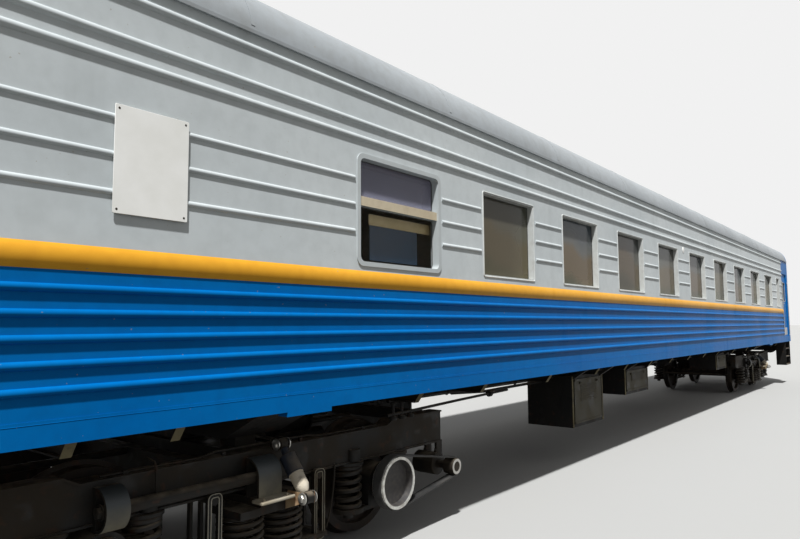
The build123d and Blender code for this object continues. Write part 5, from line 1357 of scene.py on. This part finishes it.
# Riser: distance out and height
RISER = ((1.097, 0.720), (1.103, 0.800), (1.103, 0.950), (1.080, 0.985), (0.985, 1.000))
RISER_X = -0.874
CATCH_X, CATCH_BEND, CATCH_Y = 0.666, 0.091, 1.103
CATCH_TOP_Z, CATCH_LOW_Z = 0.720, 0.250
PULL_ROD_XS, PULL_ROD_Z, PULL_ROD_THICK = (0.48, 1.2, 1.98), 0.870, 0.027


def draw_bogie_pipes(centre):
    """Brake air pipe on each beam, its riser in front of the web, safety straps and pull rods."""

    def draw(mesh):
        for turn in (-1, 1):
            run = [centre + Vector((turn * -x, turn * BEAM_PIPE_Y, z)) for x, z in BEAM_PIPE]
            tube(mesh, run, PIPE_RADIUS, PIPE_SIDES)
            riser = [centre + Vector((turn * -RISER_X, turn * y, z)) for y, z in RISER]
            tube(mesh, riser, PIPE_RADIUS, PIPE_SIDES)
            for x in CLIP_XS:
                clip = centre + Vector((turn * -x, turn * BEAM_PIPE_Y, BEAM_PIPE_Z))
                slab(mesh, box_outline(*CLIP_SIZE), CLIP_SIZE[1], clip, ALONG, UP, edge=CLIP_EDGE)
            catch = []
            for step in range(ARC_STEPS):
                share = step / (ARC_STEPS - 1)
                x, z = CATCH_X - CATCH_BEND * share**2, CATCH_TOP_Z + (CATCH_LOW_Z - CATCH_TOP_Z) * share
                catch.append(centre + Vector((turn * -x, turn * CATCH_Y, z)))
            tube(mesh, catch, PIPE_RADIUS, PIPE_SIDES)
            rod = [centre + Vector((turn * x, 0, PULL_ROD_Z)) for x in PULL_ROD_XS]
            tube(mesh, rod, PULL_ROD_THICK, count=12)

    return draw


print("Pipe runs:", round(BEAM_PIPE[-1][0] - BEAM_PIPE[0][0], 3), "m along a beam")

# %% [markdown]
# ## Both bogies
# Every function above draws for a centre, so one table pairs each of them with its finish and runs
# once for each bogie. Linked copies would be shorter still, but a piece has to ride on its own bogie.

# %% Dress both bogies
for number in (1, 2):
    name = f"bogie_{number}"
    centre = Vector((BOGIES[name].x, 0.0, 0.0))
    pulley_at = (AXLES[1].x, -1) if number == 1 else None
    covers = draw_axlebox_bolts(AXLES[2 * number - 2 : 2 * number], pulley_at)
    for label, draw, slot in (
        ("axlebox_bolts", covers, "bogie_paint"),
        ("strap_faces", draw_straps(centre), "strap_painted_sunlit"),
        # Strap faces pale low down as painted sunlight.
        ("hood_feet", draw_hood_feet(centre), "foot_painted_sunlit"),
        # Hood feet pale as painted sunlight.
        ("leash_rod_nuts", draw_rod_nuts(centre), "bogie_paint"),
        # Damper tube pale as painted sunlight, sleeve dark as painted shade.
        ("damper_bodies", draw_damper_bodies(centre), "damper_painted_sunlit"),
        ("damper_sleeves", draw_damper_sleeves(centre), "damper_painted_shade"),
        ("damper_cheeks", draw_damper_cheeks(centre), "rust_dust"),
        ("damper_eye_bolts", draw_eye_bolts(centre), "bolt_steel"),
        ("hanger_edges", draw_hanger_edges(centre), "worn_edge_and_highlight"),
        ("bogie_pipes", draw_bogie_pipes(centre), "bogie_paint"),
    ):
        piece(f"{label}_{number}", draw, slot, name)
    print(name, "is dressed round x =", round(centre.x, 3))

# %% [markdown]
# ## Under the floor
# Long air pipes hang from the cross bars, whose sloping ends show under the sill. The bars' places
# could be listed, but they are read from the frame, so that the pipes' bands sit right under them.

# %% Floor pipes and cross bar ends
FLOOR_BAR_LOW, PIPE_REACH = 1.150, 7.0
# Distance across, radius and drop below the cross bars
FLOOR_PIPES = ((-0.95, 0.021, 0.024), (-0.86, 0.015, 0.018), (0.92, 0.021, 0.024), (0.80, 0.016, 0.018))
BAND_GAP, BAND_RADIUS = 0.004, 0.005
BAR_END_TOP, BAR_END_FOOT = Vector((0.0, 1.4425, 1.2485)), Vector((0.0, 1.3705, 1.150))
BAR_WIDTH, BAR_END_SKIN, BAR_END_LIFT = 0.060, 0.0016, 0.001
OUTER_BAR_REACH = (0.92, 1.54)


def bar_places():
    """Distance along the coach of every cross bar."""
    narrow = [(low.x + high.x) / 2 for low, high in solids("underframe") if high.x - low.x < 2 * BAR_WIDTH]
    outer = [place.x * (1 + reach / abs(place.x)) for place in BOGIES.values() for reach in OUTER_BAR_REACH]
    return narrow, outer


def draw_floor_pipes(mesh):
    """Pipes along the car under its floor, with a band where each bar carries them."""
    for y, radius, drop in FLOOR_PIPES:
        z = FLOOR_BAR_LOW - drop
        path = [(PIPE_REACH * share, y, z) for share in (-1.0, -0.5, 0.0, 0.5, 1.0)]
        tube(mesh, path, radius, count=12)
        for x in bar_places()[0]:
            band = circle(Vector((x, y, z)), ACROSS, UP, radius + BAND_GAP, count=16)
            tube(mesh, band, BAND_RADIUS, count=6, loop=True)


def draw_bar_ends(mesh):
    """Dusty sloping ends of the cross bars, which show under the sill."""
    slope, middle = BAR_END_TOP - BAR_END_FOOT, (BAR_END_TOP + BAR_END_FOOT) / 2
    face = box_outline(BAR_WIDTH, slope.length)
    for x in sum(bar_places(), []):
        for side in (-1, 1):
            up = Vector((0, side * slope.y, slope.z)).normalized()
            outward = Vector((0, side * slope.z, -slope.y)).normalized()
            place = Vector((x, side * middle.y, middle.z)) + outward * BAR_END_LIFT
            slab(mesh, face, BAR_END_SKIN, place, ALONG, up)


print("Cross bars:", [len(places) for places in bar_places()])

# %% [markdown]
# ## Pull rods
# Past the first bogie the brake's pull rods run inwards from three upright levers. They are thin and
# stand in the shade, so bent tubes with turned knobs are enough.

# %% Pull rods
LEVER_XS, LEVER_Y, LEVER_RADIUS = (-7.22, -7.10, -6.98), -1.20, 0.014
LEVER_ZS, KNOB_Z, COLLAR_Z = (1.155, 1.07, 1.01), 1.0, 1.135
KNOB = ((0.030, 0.0), (0.036, 0.012), (0.030, 0.030), (0.016, 0.034))
COLLAR = ((0.028, 0.0), (0.028, 0.014))
LONG_ROD = ((-7.30, LEVER_Y, 1.045), (-6.9, LEVER_Y, 1.055), (-6.2, -1.19, 1.075), (-5.2, -1.17, 1.095))
LONG_ROD_RADIUS = 0.013
MUFF = ((0.02, 0.0), (0.034, 0.01), (0.034, 0.05), (0.02, 0.06))
MUFF_PLACE, MUFF_AXIS = (-5.62, -1.178, 1.087), (1, 0, 0.04)
INNER_ROD = ((-5.9, -0.9, 1.10), (-5.2, -0.88, 1.06), (-4.5, -0.84, 1.06), (-3.62, -0.80, 1.06))
INNER_ROD_RADIUS = 0.017


def draw_pull_rods(mesh):
    """Upright rods with knobs and collars, and the long rods between them, one with a muff."""
    for x in LEVER_XS:
        tube(mesh, [(x, LEVER_Y, z) for z in LEVER_ZS], LEVER_RADIUS)
        turned(mesh, KNOB, (x, LEVER_Y, KNOB_Z), UP, count=16)
        turned(mesh, COLLAR, (x, LEVER_Y, COLLAR_Z), UP, count=16)
    tube(mesh, LONG_ROD, LONG_ROD_RADIUS)
    turned(mesh, MUFF, MUFF_PLACE, MUFF_AXIS, count=14)
    tube(mesh, INNER_ROD, INNER_ROD_RADIUS)


print("Levers:", len(LEVER_XS))

# %% [markdown]
# ## Brake cylinder
# The brake cylinder hangs behind the bolster, with its slack adjuster below it. A plain cylinder
# would look like a drum, so one turned profile gives the domed covers and the flanges too.

# %% Brake cylinder
CYLINDER_PLACE, CYLINDER_RADIUS, CYLINDER_LENGTH = Vector((-7.86, -0.30, 0.985)), 0.130, 0.46
# Near cover and flange from the near end, then the far cover back from the far end
NEAR_COVER = ((0.03, 0.0), (0.06, 0.01), (0.10, 0.03), (CYLINDER_RADIUS, 0.04))
FLANGE = ((0.138, 0.042), (0.138, 0.062), (0.120, 0.064))
FAR_COVER = ((0.110, 0.03), (0.03, 0.0))
CYLINDER_ROD, CYLINDER_ROD_RADIUS = (-0.02, 0.10, 0.26), 0.016
ADJUSTER_XS, ADJUSTER_DROP, ADJUSTER_RADIUS = (0.02, 0.3, 0.64), 0.158, 0.046
HANGER_INSET, HANGER_SHARE, HANGER_THICKNESS, HANGER_EDGE = 0.12, 1.5, 0.012, 0.002
FLOOR_UNDERSIDE_Z = 1.338


def draw_brake_cylinder(mesh):
    """Brake cylinder with its slack adjuster, hung from the floor behind the first bogie's bolster."""
    far_end = [(radius, CYLINDER_LENGTH - back) for radius, back in (*reversed(FLANGE), *FAR_COVER)]
    turned(mesh, [*NEAR_COVER, *FLANGE, *far_end], CYLINDER_PLACE, ALONG, count=32)
    rod = [CYLINDER_PLACE + ALONG * (CYLINDER_LENGTH + reach) for reach in CYLINDER_ROD]
    tube(mesh, rod, CYLINDER_ROD_RADIUS)
    adjuster = [CYLINDER_PLACE + Vector((along, 0, -ADJUSTER_DROP)) for along in ADJUSTER_XS]
    tube(mesh, adjuster, ADJUSTER_RADIUS, count=20)
    rise = FLOOR_UNDERSIDE_Z - CYLINDER_PLACE.z
    hanger = box_outline(HANGER_SHARE * CYLINDER_RADIUS, rise)
    for along in (HANGER_INSET, CYLINDER_LENGTH - HANGER_INSET):
        place = CYLINDER_PLACE + Vector((along, 0, rise / 2))
        slab(mesh, hanger, HANGER_THICKNESS, place, ACROSS, UP, edge=HANGER_EDGE)


piece("brake_cylinder", draw_brake_cylinder, "chassis_paint", CAR)
piece("floor_pipes", draw_floor_pipes, "chassis_paint", CAR)
piece("cross_bar_ends", draw_bar_ends, "dusty_beige", CAR, smooth=False)
piece("pull_rods", draw_pull_rods, "chassis_paint", CAR)
print("The cylinder is", CYLINDER_LENGTH, "m long")

# %% [markdown]
# ## Equipment boxes
# Batteries and gear ride in steel boxes under the floor. Each has a framed lid with louvres and two
# catches, and bare corner posts. The faces are found from the lowest points of each box, because the
# boxes have sloping sides and differ in size.

# %% Box faces and lids
BOX_TOP_Z, FLOOR_BAND = 1.138, 0.001
LID_MARGIN, LID_PROUD, LID_LIFT, LID_SKIN, LID_CORNER = 0.045, 0.009, 0.001, 0.0018, 0.03
POST_WIDTH, POST_THICKNESS, BAR_EDGE = 0.034, 0.006, 0.0015


def box_faces():
    """Middle of each box's outer face, its width and height, and its side of the coach."""
    for points in point_groups("underfloor_boxes"):
        floor_z = min(point.z for point in points)
        low, high = corners_of([point for point in points if point.z < floor_z + FLOOR_BAND])
        side = 1 if low.y > 0 else -1
        face_y = high.y if side > 0 else low.y
        height = BOX_TOP_Z - floor_z
        yield Vector(((low.x + high.x) / 2, face_y, floor_z + height / 2)), high.x - low.x, height, side


def draw_box_lids(mesh):
    """A thin lid on every box's face."""
    for face, width, height, side in box_faces():
        lid = rounded(width - 2 * LID_MARGIN, height - 2 * LID_MARGIN, LID_CORNER, steps=4)
        place = face + ACROSS * (side * (LID_PROUD + LID_LIFT))
        slab(mesh, lid, LID_SKIN, place, ALONG, UP)


def draw_box_posts(mesh):
    """An upright bar at both ends of every box's face."""
    for face, width, height, side in box_faces():
        for end in (-1, 1):
            place = face + Vector((end * (width - POST_WIDTH) / 2, side * POST_THICKNESS / 2, 0))
            slab(mesh, box_outline(POST_WIDTH, height), POST_THICKNESS, place, ALONG, UP, edge=BAR_EDGE)


print("Equipment boxes:", len(list(box_faces())))

# %% [markdown]
# ## Box fittings
# A lid has a raised frame, a row of louvres and two catches. Slots could be cut for the louvres with
# booleans. Tilted plates are used, because they throw the same shadow lines and the lid stays whole.

# %% Box fittings
LID_BAR, LID_BAR_THICKNESS = 0.022, 0.008
LOUVRES, LOUVRE_TILT, LOUVRE_OUT = 7, 0.35, 0.006
LOUVRE_WIDTH, LOUVRE_TOP, LOUVRE_PITCH = 0.55, 0.34, 0.055
LOUVRE_HEIGHT, LOUVRE_CORNER, LOUVRE_SKIN = 0.022, 0.006, 0.003
CATCH_SHARE, CATCH_OUT, CATCH_DOWN = 0.3, 0.010, 0.05
CATCH_SIZE, CATCH_CORNER, CATCH_THICKNESS, CATCH_EDGE = (0.05, 0.03), 0.006, 0.012, 0.002
CATCH_STUD = ((0.009, 0.0), (0.009, 0.012), (0.006, 0.015))


def draw_box_fittings(mesh):
    """Lid frame, louvres and two catches on each box."""
    for face, width, height, side in box_faces():
        lid_w, lid_h = width - 2 * LID_MARGIN, height - 2 * LID_MARGIN
        centre = face + ACROSS * (side * LID_PROUD)
        up = Vector((0, side * sin(LOUVRE_TILT), -cos(LOUVRE_TILT)))
        for sign in (1, -1):
            level = Vector((0, side * LID_BAR_THICKNESS / 2, sign * (lid_h - LID_BAR) / 2))
            upright = Vector((sign * (lid_w - LID_BAR) / 2, side * LID_BAR_THICKNESS / 2, 0))
            for offset, size in ((level, (lid_w, LID_BAR)), (upright, (LID_BAR, lid_h))):
                bar = box_outline(*size)
                slab(mesh, bar, LID_BAR_THICKNESS, centre + offset, ALONG, UP, edge=BAR_EDGE)
        for i in range(LOUVRES):
            place = centre + Vector((0, side * LOUVRE_OUT, lid_h * (LOUVRE_TOP - LOUVRE_PITCH * i)))
            louvre = rounded(lid_w * LOUVRE_WIDTH, LOUVRE_HEIGHT, LOUVRE_CORNER, steps=2)
            slab(mesh, louvre, LOUVRE_SKIN, place, ALONG, up)
        for share in (-CATCH_SHARE, CATCH_SHARE):
            place = centre + Vector((share * lid_w, side * CATCH_OUT, lid_h / 2 - CATCH_DOWN))
            plate = rounded(*CATCH_SIZE, CATCH_CORNER, steps=2)
            slab(mesh, plate, CATCH_THICKNESS, place, ALONG, UP, edge=CATCH_EDGE)
            turned(mesh, CATCH_STUD, place, ACROSS * side, count=12)


piece("box_lids", draw_box_lids, "box_paint", CAR, smooth=False)
piece("box_posts", draw_box_posts, "dusty_beige", CAR, smooth=False)
piece("box_fittings", draw_box_fittings, "box_paint", CAR, smooth=False)
print("Louvres on a lid:", LOUVRES)

# %% [markdown]
# ## Doors
# Each entrance door and end door gets a rim round its pane, a kick plate, a handle plate and a grip.
# They ride on the door and swing with it. One function trims every leaf, whichever way it lies: it
# takes the leaf's box and its pane's box from the frame, and works along `flat` and `outward`.

# %% Door furniture
RIM_MARGIN, RIM_CORNER, RIM_RADIUS = 0.01, 0.05, 0.008
KICK_SIZE, KICK_CORNER, KICK_SKIN, KICK_LIFT, KICK_HEIGHT = (0.62, 0.22), 0.01, 0.002, 0.001, 0.16
PLATE_SIZE, PLATE_CORNER, PLATE_SKIN, PLATE_EDGE = (0.045, 0.20), 0.02, 0.006, 0.001
HANDLE_HEIGHT, HANDLE_INSET = 1.00, 0.07
# Grip: distance off the leaf and along it
GRIP, GRIP_RADIUS = ((0.0, 0.0), (0.030, 0.0), (0.040, 0.01), (0.040, 0.11)), 0.009


def draw_door(low, high, pane_low, pane_high, flat_axis, out, free_side):
    """Trim on one leaf: flat_axis is 0 where it lies along X and 1 where it lies along Y."""
    thin_axis = 1 - flat_axis
    flat, outward = Vector((0, 0, 0)), Vector((0, 0, 0))
    flat[flat_axis], outward[thin_axis] = 1.0, float(out)
    centre, pane = (low + high) / 2, (pane_low + pane_high) / 2
    half = (high[thin_axis] - low[thin_axis]) / 2
    pane_w, pane_h = pane_high[flat_axis] - pane_low[flat_axis], pane_high.z - pane_low.z

    def draw(mesh):
        for face in (-1, 1):
            skin = outward * (face * half)
            rim = pane + skin
            rim[thin_axis] = centre[thin_axis] + skin[thin_axis]
            path = upright_ring(rim, flat, pane_w + RIM_MARGIN, pane_h + RIM_MARGIN, RIM_CORNER)
            tube(mesh, path, RIM_RADIUS, count=8, loop=True)
            kick = centre + outward * (face * (half + KICK_LIFT))
            kick.z = low.z + KICK_HEIGHT
            slab(mesh, rounded(*KICK_SIZE, KICK_CORNER, steps=2), KICK_SKIN, kick, flat, UP)
            handle = centre + skin
            handle[flat_axis] = (high if free_side > 0 else low)[flat_axis] - free_side * HANDLE_INSET
            handle.z = low.z + HANDLE_HEIGHT
            plate = rounded(*PLATE_SIZE, PLATE_CORNER, steps=4)
            slab(mesh, plate, PLATE_SKIN, handle, flat, UP, edge=PLATE_EDGE)
            grip = [handle + outward * (face * reach) - flat * (free_side * along) for reach, along in GRIP]
            tube(mesh, grip, GRIP_RADIUS)

    return draw


# Axis that the leaf lies along, side that it faces and side of its free edge
DOORS = {}
for end, end_sign in (("front", 1), ("rear", -1)):
    DOORS[f"end_door_{end}"] = (1, end_sign, end_sign)
    for side, side_sign in (("left", 1), ("right", -1)):
        DOORS[f"door_{end}_{side}"] = (0, side_sign, -end_sign)
for name, facts in DOORS.items():
    pane_name = name.replace("door_", "door_pane_")
    piece(f"{name}_trim", draw_door(*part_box(name), *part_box(pane_name), *facts), "bolt_steel", name)
print("Doors:", list(DOORS))

# %% [markdown]
# ## Grab rails
# Grab rails stand on round feet beside each entrance, and bent ones climb the corners of the ends. A
# curve with a bevel would give the same rails. `tube` is used, because it closes their ends at once.

# %% Grab rails
RAIL_RADIUS, RAIL_SETBACK = 0.010, 0.075
RAIL_ZS = (1.45, 2.2, 3.05)
RAIL_FOOT = ((0.022, 0.0), (0.022, 0.006))
END_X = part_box("end_shell_front")[1].x
END_RAIL_Y, END_RAIL_REACH, END_RAIL_SHARE = 1.36, 0.045, 1.3
END_RAIL_FEET, END_RAIL_BENDS = (1.50, 3.10), (1.53, 2.30, 3.07)


def draw_grab_rails(mesh):
    """Rails beside each entrance, close to the wall, and one up each corner of the ends."""
    for name, (axis, out, _) in DOORS.items():
        low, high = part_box(name)
        if axis == 0:
            for x in (low.x - RAIL_SETBACK, high.x + RAIL_SETBACK):
                tube(mesh, [(x, out * (WALL_FACE_Y + RAIL_RADIUS), z) for z in RAIL_ZS], RAIL_RADIUS)
                for z in (RAIL_ZS[0], RAIL_ZS[-1]):
                    turned(mesh, RAIL_FOOT, (x, out * WALL_FACE_Y, z), ACROSS * out, count=16)
        else:
            wall, face = out * END_X, out * (END_X + END_RAIL_REACH)
            foot, head = END_RAIL_FEET
            bent = [(wall, foot), *((face, z) for z in END_RAIL_BENDS), (wall, head)]
            for side in (-1, 1):
                path = [(x, side * END_RAIL_Y, z) for x, z in bent]
                tube(mesh, path, RAIL_RADIUS * END_RAIL_SHARE)


piece("grab_rails", draw_grab_rails, "bolt_steel", CAR)
print("Rails stand", RAIL_SETBACK, "m beside the doors")

# %% [markdown]
# ## Treads and lamps
# The steps have raised bars against slipping, at heights read from the steps' own points. Each end
# has a red signal lamp on both sides of the doorway. Its rim and its lens, a low dome, are turned
# profiles, because all of a lamp is round.

# %% Step treads and lamps
TREAD_BARS, TREAD_WIDTH, TREAD_HEIGHT, TREAD_MARGIN = 6, 0.012, 0.003, 0.06
TREAD_START, TREAD_SPREAD = 0.7, 6.4
STEP_INNER, STEP_OUTER = 0.02, 0.001
LAMP_Y, LAMP_Z, LAMP_RADIUS = 1.12, 3.35, 0.075
LAMP_SIDES = 28
# Lamp rim: radius over the lens's and distance off the end wall
LAMP_RIM = ((0.012, -0.001), (0.012, 0.030), (0.0, 0.036), (0.0, 0.020))
LENS_START, LENS_RISE, LENS_TURNS = 0.021, 0.016, (0.0, 0.3, 0.6, 0.9, 1.2, 1.5)


def draw_treads(mesh):
    """Raised bars across each step of the entrances."""
    for points in point_groups("entry_steps"):
        low, high = corners_of(points)
        inside = [p for p in points if abs(p.x - low.x) > STEP_INNER and abs(p.x - high.x) > STEP_OUTER]
        levels = sorted({round(p.z, 3) for p in inside})
        bar = box_outline(high.x - low.x - TREAD_MARGIN, TREAD_WIDTH)
        for z in levels[1::2]:
            for i in range(TREAD_BARS):
                y = low.y + (high.y - low.y) * (i + TREAD_START) / TREAD_SPREAD
                place = ((low.x + high.x) / 2, y, z + TREAD_HEIGHT / 2)
                slab(mesh, bar, TREAD_HEIGHT, place, ALONG, ACROSS)


def draw_on_lamps(profile):
    """Profile turned at both lamps of both ends."""

    def draw(mesh):
        for end in (-1, 1):
            for side in (-1, 1):
                turned(mesh, profile, (end * END_X, side * LAMP_Y, LAMP_Z), ALONG * end, LAMP_SIDES)

    return draw


rim = [(LAMP_RADIUS + over, off) for over, off in LAMP_RIM]
lens = [(LAMP_RADIUS * cos(turn), LENS_START + LENS_RISE * sin(turn)) for turn in LENS_TURNS]
piece("step_treads", draw_treads, "dark_fittings", CAR, smooth=False)
piece("lamp_rims", draw_on_lamps(rim), "dark_fittings", CAR)
piece("lamp_lenses", draw_on_lamps(lens), "lamp_red", CAR)
print("Lamps at", LAMP_Z, "m")

# %% [markdown]
# ## Roof
# Flat welded seams cross the roof where its sheets meet. Each seam follows the roof's own section,
# which is worked out from its width and rise: a round shoulder on each side, and one wide arc over
# the top that touches both. The ventilators get a rolled rim.

# %% Roof seams
ROOF_LOW, ROOF_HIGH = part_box("roof")
SHOULDER_RADIUS, SHOULDER_STEPS, CROWN_STEPS = 0.45, 8, 12
SEAM_WIDTH, SEAM_PROUD = 0.030, 0.003
FIRST_SEAM_X, SEAM_PITCH, SEAM_COUNT = -9.02, 2.26, 9
VENT_HEAD_WIDTH, VENT_TOP_SHARE = 0.12, 0.80
# Rim: radius over the ventilator's top and height from it
VENT_RIM = ((0.0, -0.022), (0.010, -0.019), (0.010, -0.006), (0.0, -0.003))


def roof_line(raised):
    """Points (y, z) over the roof from one eave to the other, raised off its skin."""
    side_y = WALL_FACE_Y - SHOULDER_RADIUS
    rise = ROOF_HIGH.z - ROOF_LOW.z
    crown = (side_y**2 + rise**2 - SHOULDER_RADIUS**2) / (2 * (rise - SHOULDER_RADIUS))
    lean = asin(side_y / (crown - SHOULDER_RADIUS))
    reach, centre_z = SHOULDER_RADIUS + raised, ROOF_HIGH.z - crown
    shoulder = [(pi / 2 - lean) * (i + 1) / SHOULDER_STEPS for i in range(SHOULDER_STEPS)]
    half = [(side_y + reach * cos(turn), ROOF_LOW.z + reach * sin(turn)) for turn in shoulder]
    top = [lean * (1 - (i + 1) / CROWN_STEPS) for i in range(CROWN_STEPS)]
    half += [((crown + raised) * sin(turn), centre_z + (crown + raised) * cos(turn)) for turn in top]
    return half + [(-y, z) for y, z in reversed(half[:-1])]


def draw_roof_seams(mesh):
    """Flat strips over the roof, from eave to eave."""
    inner, outer = roof_line(0.0), roof_line(SEAM_PROUD)
    for i in range(SEAM_COUNT):
        x = FIRST_SEAM_X + SEAM_PITCH * i
        low, high = x - SEAM_WIDTH / 2, x + SEAM_WIDTH / 2
        rings = []
        for (y_in, z_in), (y_out, z_out) in zip(inner, outer):
            rings.append([(low, y_in, z_in), (high, y_in, z_in), (high, y_out, z_out), (low, y_out, z_out)])
        bridge(mesh, rings)


def draw_vent_rims(mesh):
    """Rolled rim round the top of each roof ventilator."""
    for low, high in solids("roof_vents"):
        wide = (high.x - low.x) / 2
        if wide > VENT_HEAD_WIDTH:
            rim = [(wide * VENT_TOP_SHARE + over, height) for over, height in VENT_RIM]
            turned(mesh, rim, ((low.x + high.x) / 2, 0, high.z), UP, count=32)


piece("roof_seams", draw_roof_seams, "roof_paint", CAR)
piece("vent_rims", draw_vent_rims, "roof_paint", CAR)
print("Roof seams:", SEAM_COUNT)

# %% [markdown]
# ## Window and sill lines
# Thin lines give the long wall its scale: a dark rubber bead round each pane, a pale moulding round
# each window of the saloon, and the slightly wavy weld above the sill. Each is a looped or straight
# tube, half sunk in what carries it, so that only its crown catches the light.

# %% Window beads and sill seam
BEAD_RADIUS, BEAD_CORNER, CREW_BEAD_CORNER = 0.0045, 0.012, 0.045
TRIM_RADIUS, TRIM_CORNER, TRIM_LIFT = 0.007, 0.02, 0.001
NEAR_CREW_WINDOW = 0.1
SILL_SEAM_Z, SILL_FACE_Y, SEAM_RADIUS, SEAM_STEPS = 1.358, 1.5356, 0.0016, 120
SEAM_WAVE, SEAM_WAVE_FINE, SEAM_WAVE_SLOW = 0.002, 4.1, 1.3
WALL_END_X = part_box("side_panel_left")[1].x


def draw_beads(mesh):
    """A rubber bead round every window pane."""
    for low, high in solids("window_panes"):
        centre = (low + high) / 2
        centre.y = high.y if low.y > 0 else low.y
        corner = CREW_BEAD_CORNER if abs(centre.x - CREW_WINDOW_X) < NEAR_CREW_WINDOW else BEAD_CORNER
        width, height = high.x - low.x - BEAD_RADIUS, high.z - low.z - BEAD_RADIUS
        tube(mesh, upright_ring(centre, ALONG, width, height, corner), BEAD_RADIUS, count=6, loop=True)


def draw_window_trims(mesh):
    """Pale half-round moulding round each window of the saloon."""
    for low, high in solids("window_frames"):
        if high.x < CREW_PANE_END:
            continue
        centre = (low + high) / 2
        centre.y = (1 if low.y > 0 else -1) * (WALL_FACE_Y + TRIM_LIFT)
        width, height = high.x - low.x + TRIM_RADIUS, high.z - low.z + TRIM_RADIUS
        tube(mesh, upright_ring(centre, ALONG, width, height, TRIM_CORNER), TRIM_RADIUS, count=8, loop=True)


def draw_sill_seams(mesh):
    """Fine wavy line along the weld above the sill."""
    for side in (-1, 1):
        path = []
        for i in range(SEAM_STEPS + 1):
            x = WALL_END_X * (2 * i / SEAM_STEPS - 1)
            wave = SEAM_WAVE * sin(SEAM_WAVE_FINE * x) * sin(SEAM_WAVE_SLOW * x)
            path.append((x, side * SILL_FACE_Y, SILL_SEAM_Z + wave))
        tube(mesh, path, SEAM_RADIUS, count=5)


piece("window_beads", draw_beads, "seal_rubber", CAR)
piece("window_trims", draw_window_trims, "frame_paint", CAR)
piece("sill_seams", draw_sill_seams, "blue_paint", CAR)
print("Panes:", len(solids("window_panes")))

# %% [markdown]
# ## Stage
# A big pale floor carries the shadow. It is pale to the eye but throws up little light, as a dark
# track bed would, so its colour asks what kind of ray has come. The sky is bright to the eye and
# faint as a lamp in the same way, because a background must not wash out the coach.

# %% Floor and sky
FLOOR_HALF = 600.0
FLOOR_COLOUR, FLOOR_SHADE, FLOOR_SHADE_SHARE = paint(166, 166, 164), paint(158, 157, 154), 0.10
FLOOR_BOUNCE = paint(72, 71, 68)
SKY_LIGHT, BACKGROUND = 0.32, 0.88


def seen_rays(w):
    """1 where the eye looks, straight or by way of metal or glass, and 0 for light that bounces."""
    rays = [w.add("LightPath", out=f"Is {kind} Ray") for kind in ("Camera", "Glossy", "Transmission")]
    return rays[0].math("MAXIMUM", rays[0], rays[0].math("MAXIMUM", rays[1], rays[2]))


def floor_varied(w):
    """Pale floor with soft shades, and a darker colour for light that bounces."""
    soft = cover(w, scale=0.35, detail=3.0, low=0.3, high=0.7)
    pale = tint(w, soft * FLOOR_SHADE_SHARE, FLOOR_COLOUR, FLOOR_SHADE)
    return {"Base Color": tint(w, seen_rays(w), FLOOR_BOUNCE, pale)}


floor_mesh = bpy.data.meshes.new("studio_floor")
corners = [(x * FLOOR_HALF, y * FLOOR_HALF, 0.0) for x, y in ((-1, -1), (1, -1), (1, 1), (-1, 1))]
floor_mesh.from_pydata(corners, [], [(0, 1, 2, 3)])
studio_floor = bpy.data.objects.new("studio_floor", floor_mesh)
bpy.context.scene.collection.objects.link(studio_floor)
floor_mesh.materials.append(make_finish("studio_floor", floor_varied, Roughness=0.9))

world = bpy.data.worlds.new("studio_sky")
bpy.context.scene.world = world
world.use_nodes = True
world.node_tree.nodes.clear()
sky = Wire(world.node_tree)
strength = seen_rays(sky).spread(0, 1, SKY_LIGHT, BACKGROUND)
sky.end("OutputWorld", sky.add("Background", {"Color": (1, 1, 1, 1), "Strength": strength}))
print("Floor:", 2 * FLOOR_HALF, "m square")

# %% [markdown]
# ## Lamp
# One broad lamp stands high on the near side and grazes the wall, so that each pressed rib gets a
# bright top and a shaded underside. A sun lamp is chosen, because a coach this long would show the
# falloff of any nearer lamp.

# %% Lamp
LAMP_TRAVEL, LAMP_POWER, LAMP_SPREAD = Vector((0.36, 0.27, -0.87)), 5.6, radians(2.5)
lamp_data = bpy.data.lights.new("key_lamp", "SUN")
lamp_data.energy = LAMP_POWER
lamp_data.angle = LAMP_SPREAD
key_lamp = bpy.data.objects.new("key_lamp", lamp_data)
key_lamp.rotation_mode = "QUATERNION"
key_lamp.rotation_quaternion = LAMP_TRAVEL.to_track_quat("-Z", "Y")
bpy.context.scene.collection.objects.link(key_lamp)
print("Lamp power:", LAMP_POWER)

# %% [markdown]
# ## Camera
# The camera stands close to the coach, at about head height, and looks along it and a little up. Its
# heading, tilt and roll could be set as Euler angles. Here they are turned into three axes, because
# that needs no rule for the order of turns.

# %% Camera
IMAGE_WIDTH, FOCAL_PIXELS = 800, 643.26
SENSOR_WIDTH, CLIP_END = 36.0, 2000.0
CAMERA_PLACE = Vector((-11.56, -4.812, 1.813))
HEADING, TILT, ROLL = radians(50.919), radians(4.970), radians(-0.366)

forward = Vector((sin(HEADING) * cos(TILT), cos(HEADING) * cos(TILT), sin(TILT)))
level = Vector((cos(HEADING), -sin(HEADING), 0.0))
upright = level.cross(forward)
right = level * cos(ROLL) + upright * sin(ROLL)
above = upright * cos(ROLL) - level * sin(ROLL)
camera_data = bpy.data.cameras.new("photo_camera")
camera_data.sensor_width = SENSOR_WIDTH
camera_data.lens = FOCAL_PIXELS * SENSOR_WIDTH / IMAGE_WIDTH
camera_data.clip_end = CLIP_END
camera = bpy.data.objects.new("photo_camera", camera_data)
turn = Matrix((right, above, -forward)).transposed().to_4x4()
camera.matrix_world = Matrix.Translation(CAMERA_PLACE) @ turn
bpy.context.scene.collection.objects.link(camera)
bpy.context.scene.camera = camera
bpy.context.scene.view_settings.view_transform = "Standard"
print("Lens:", round(camera_data.lens, 2), "mm")

# %% [markdown]
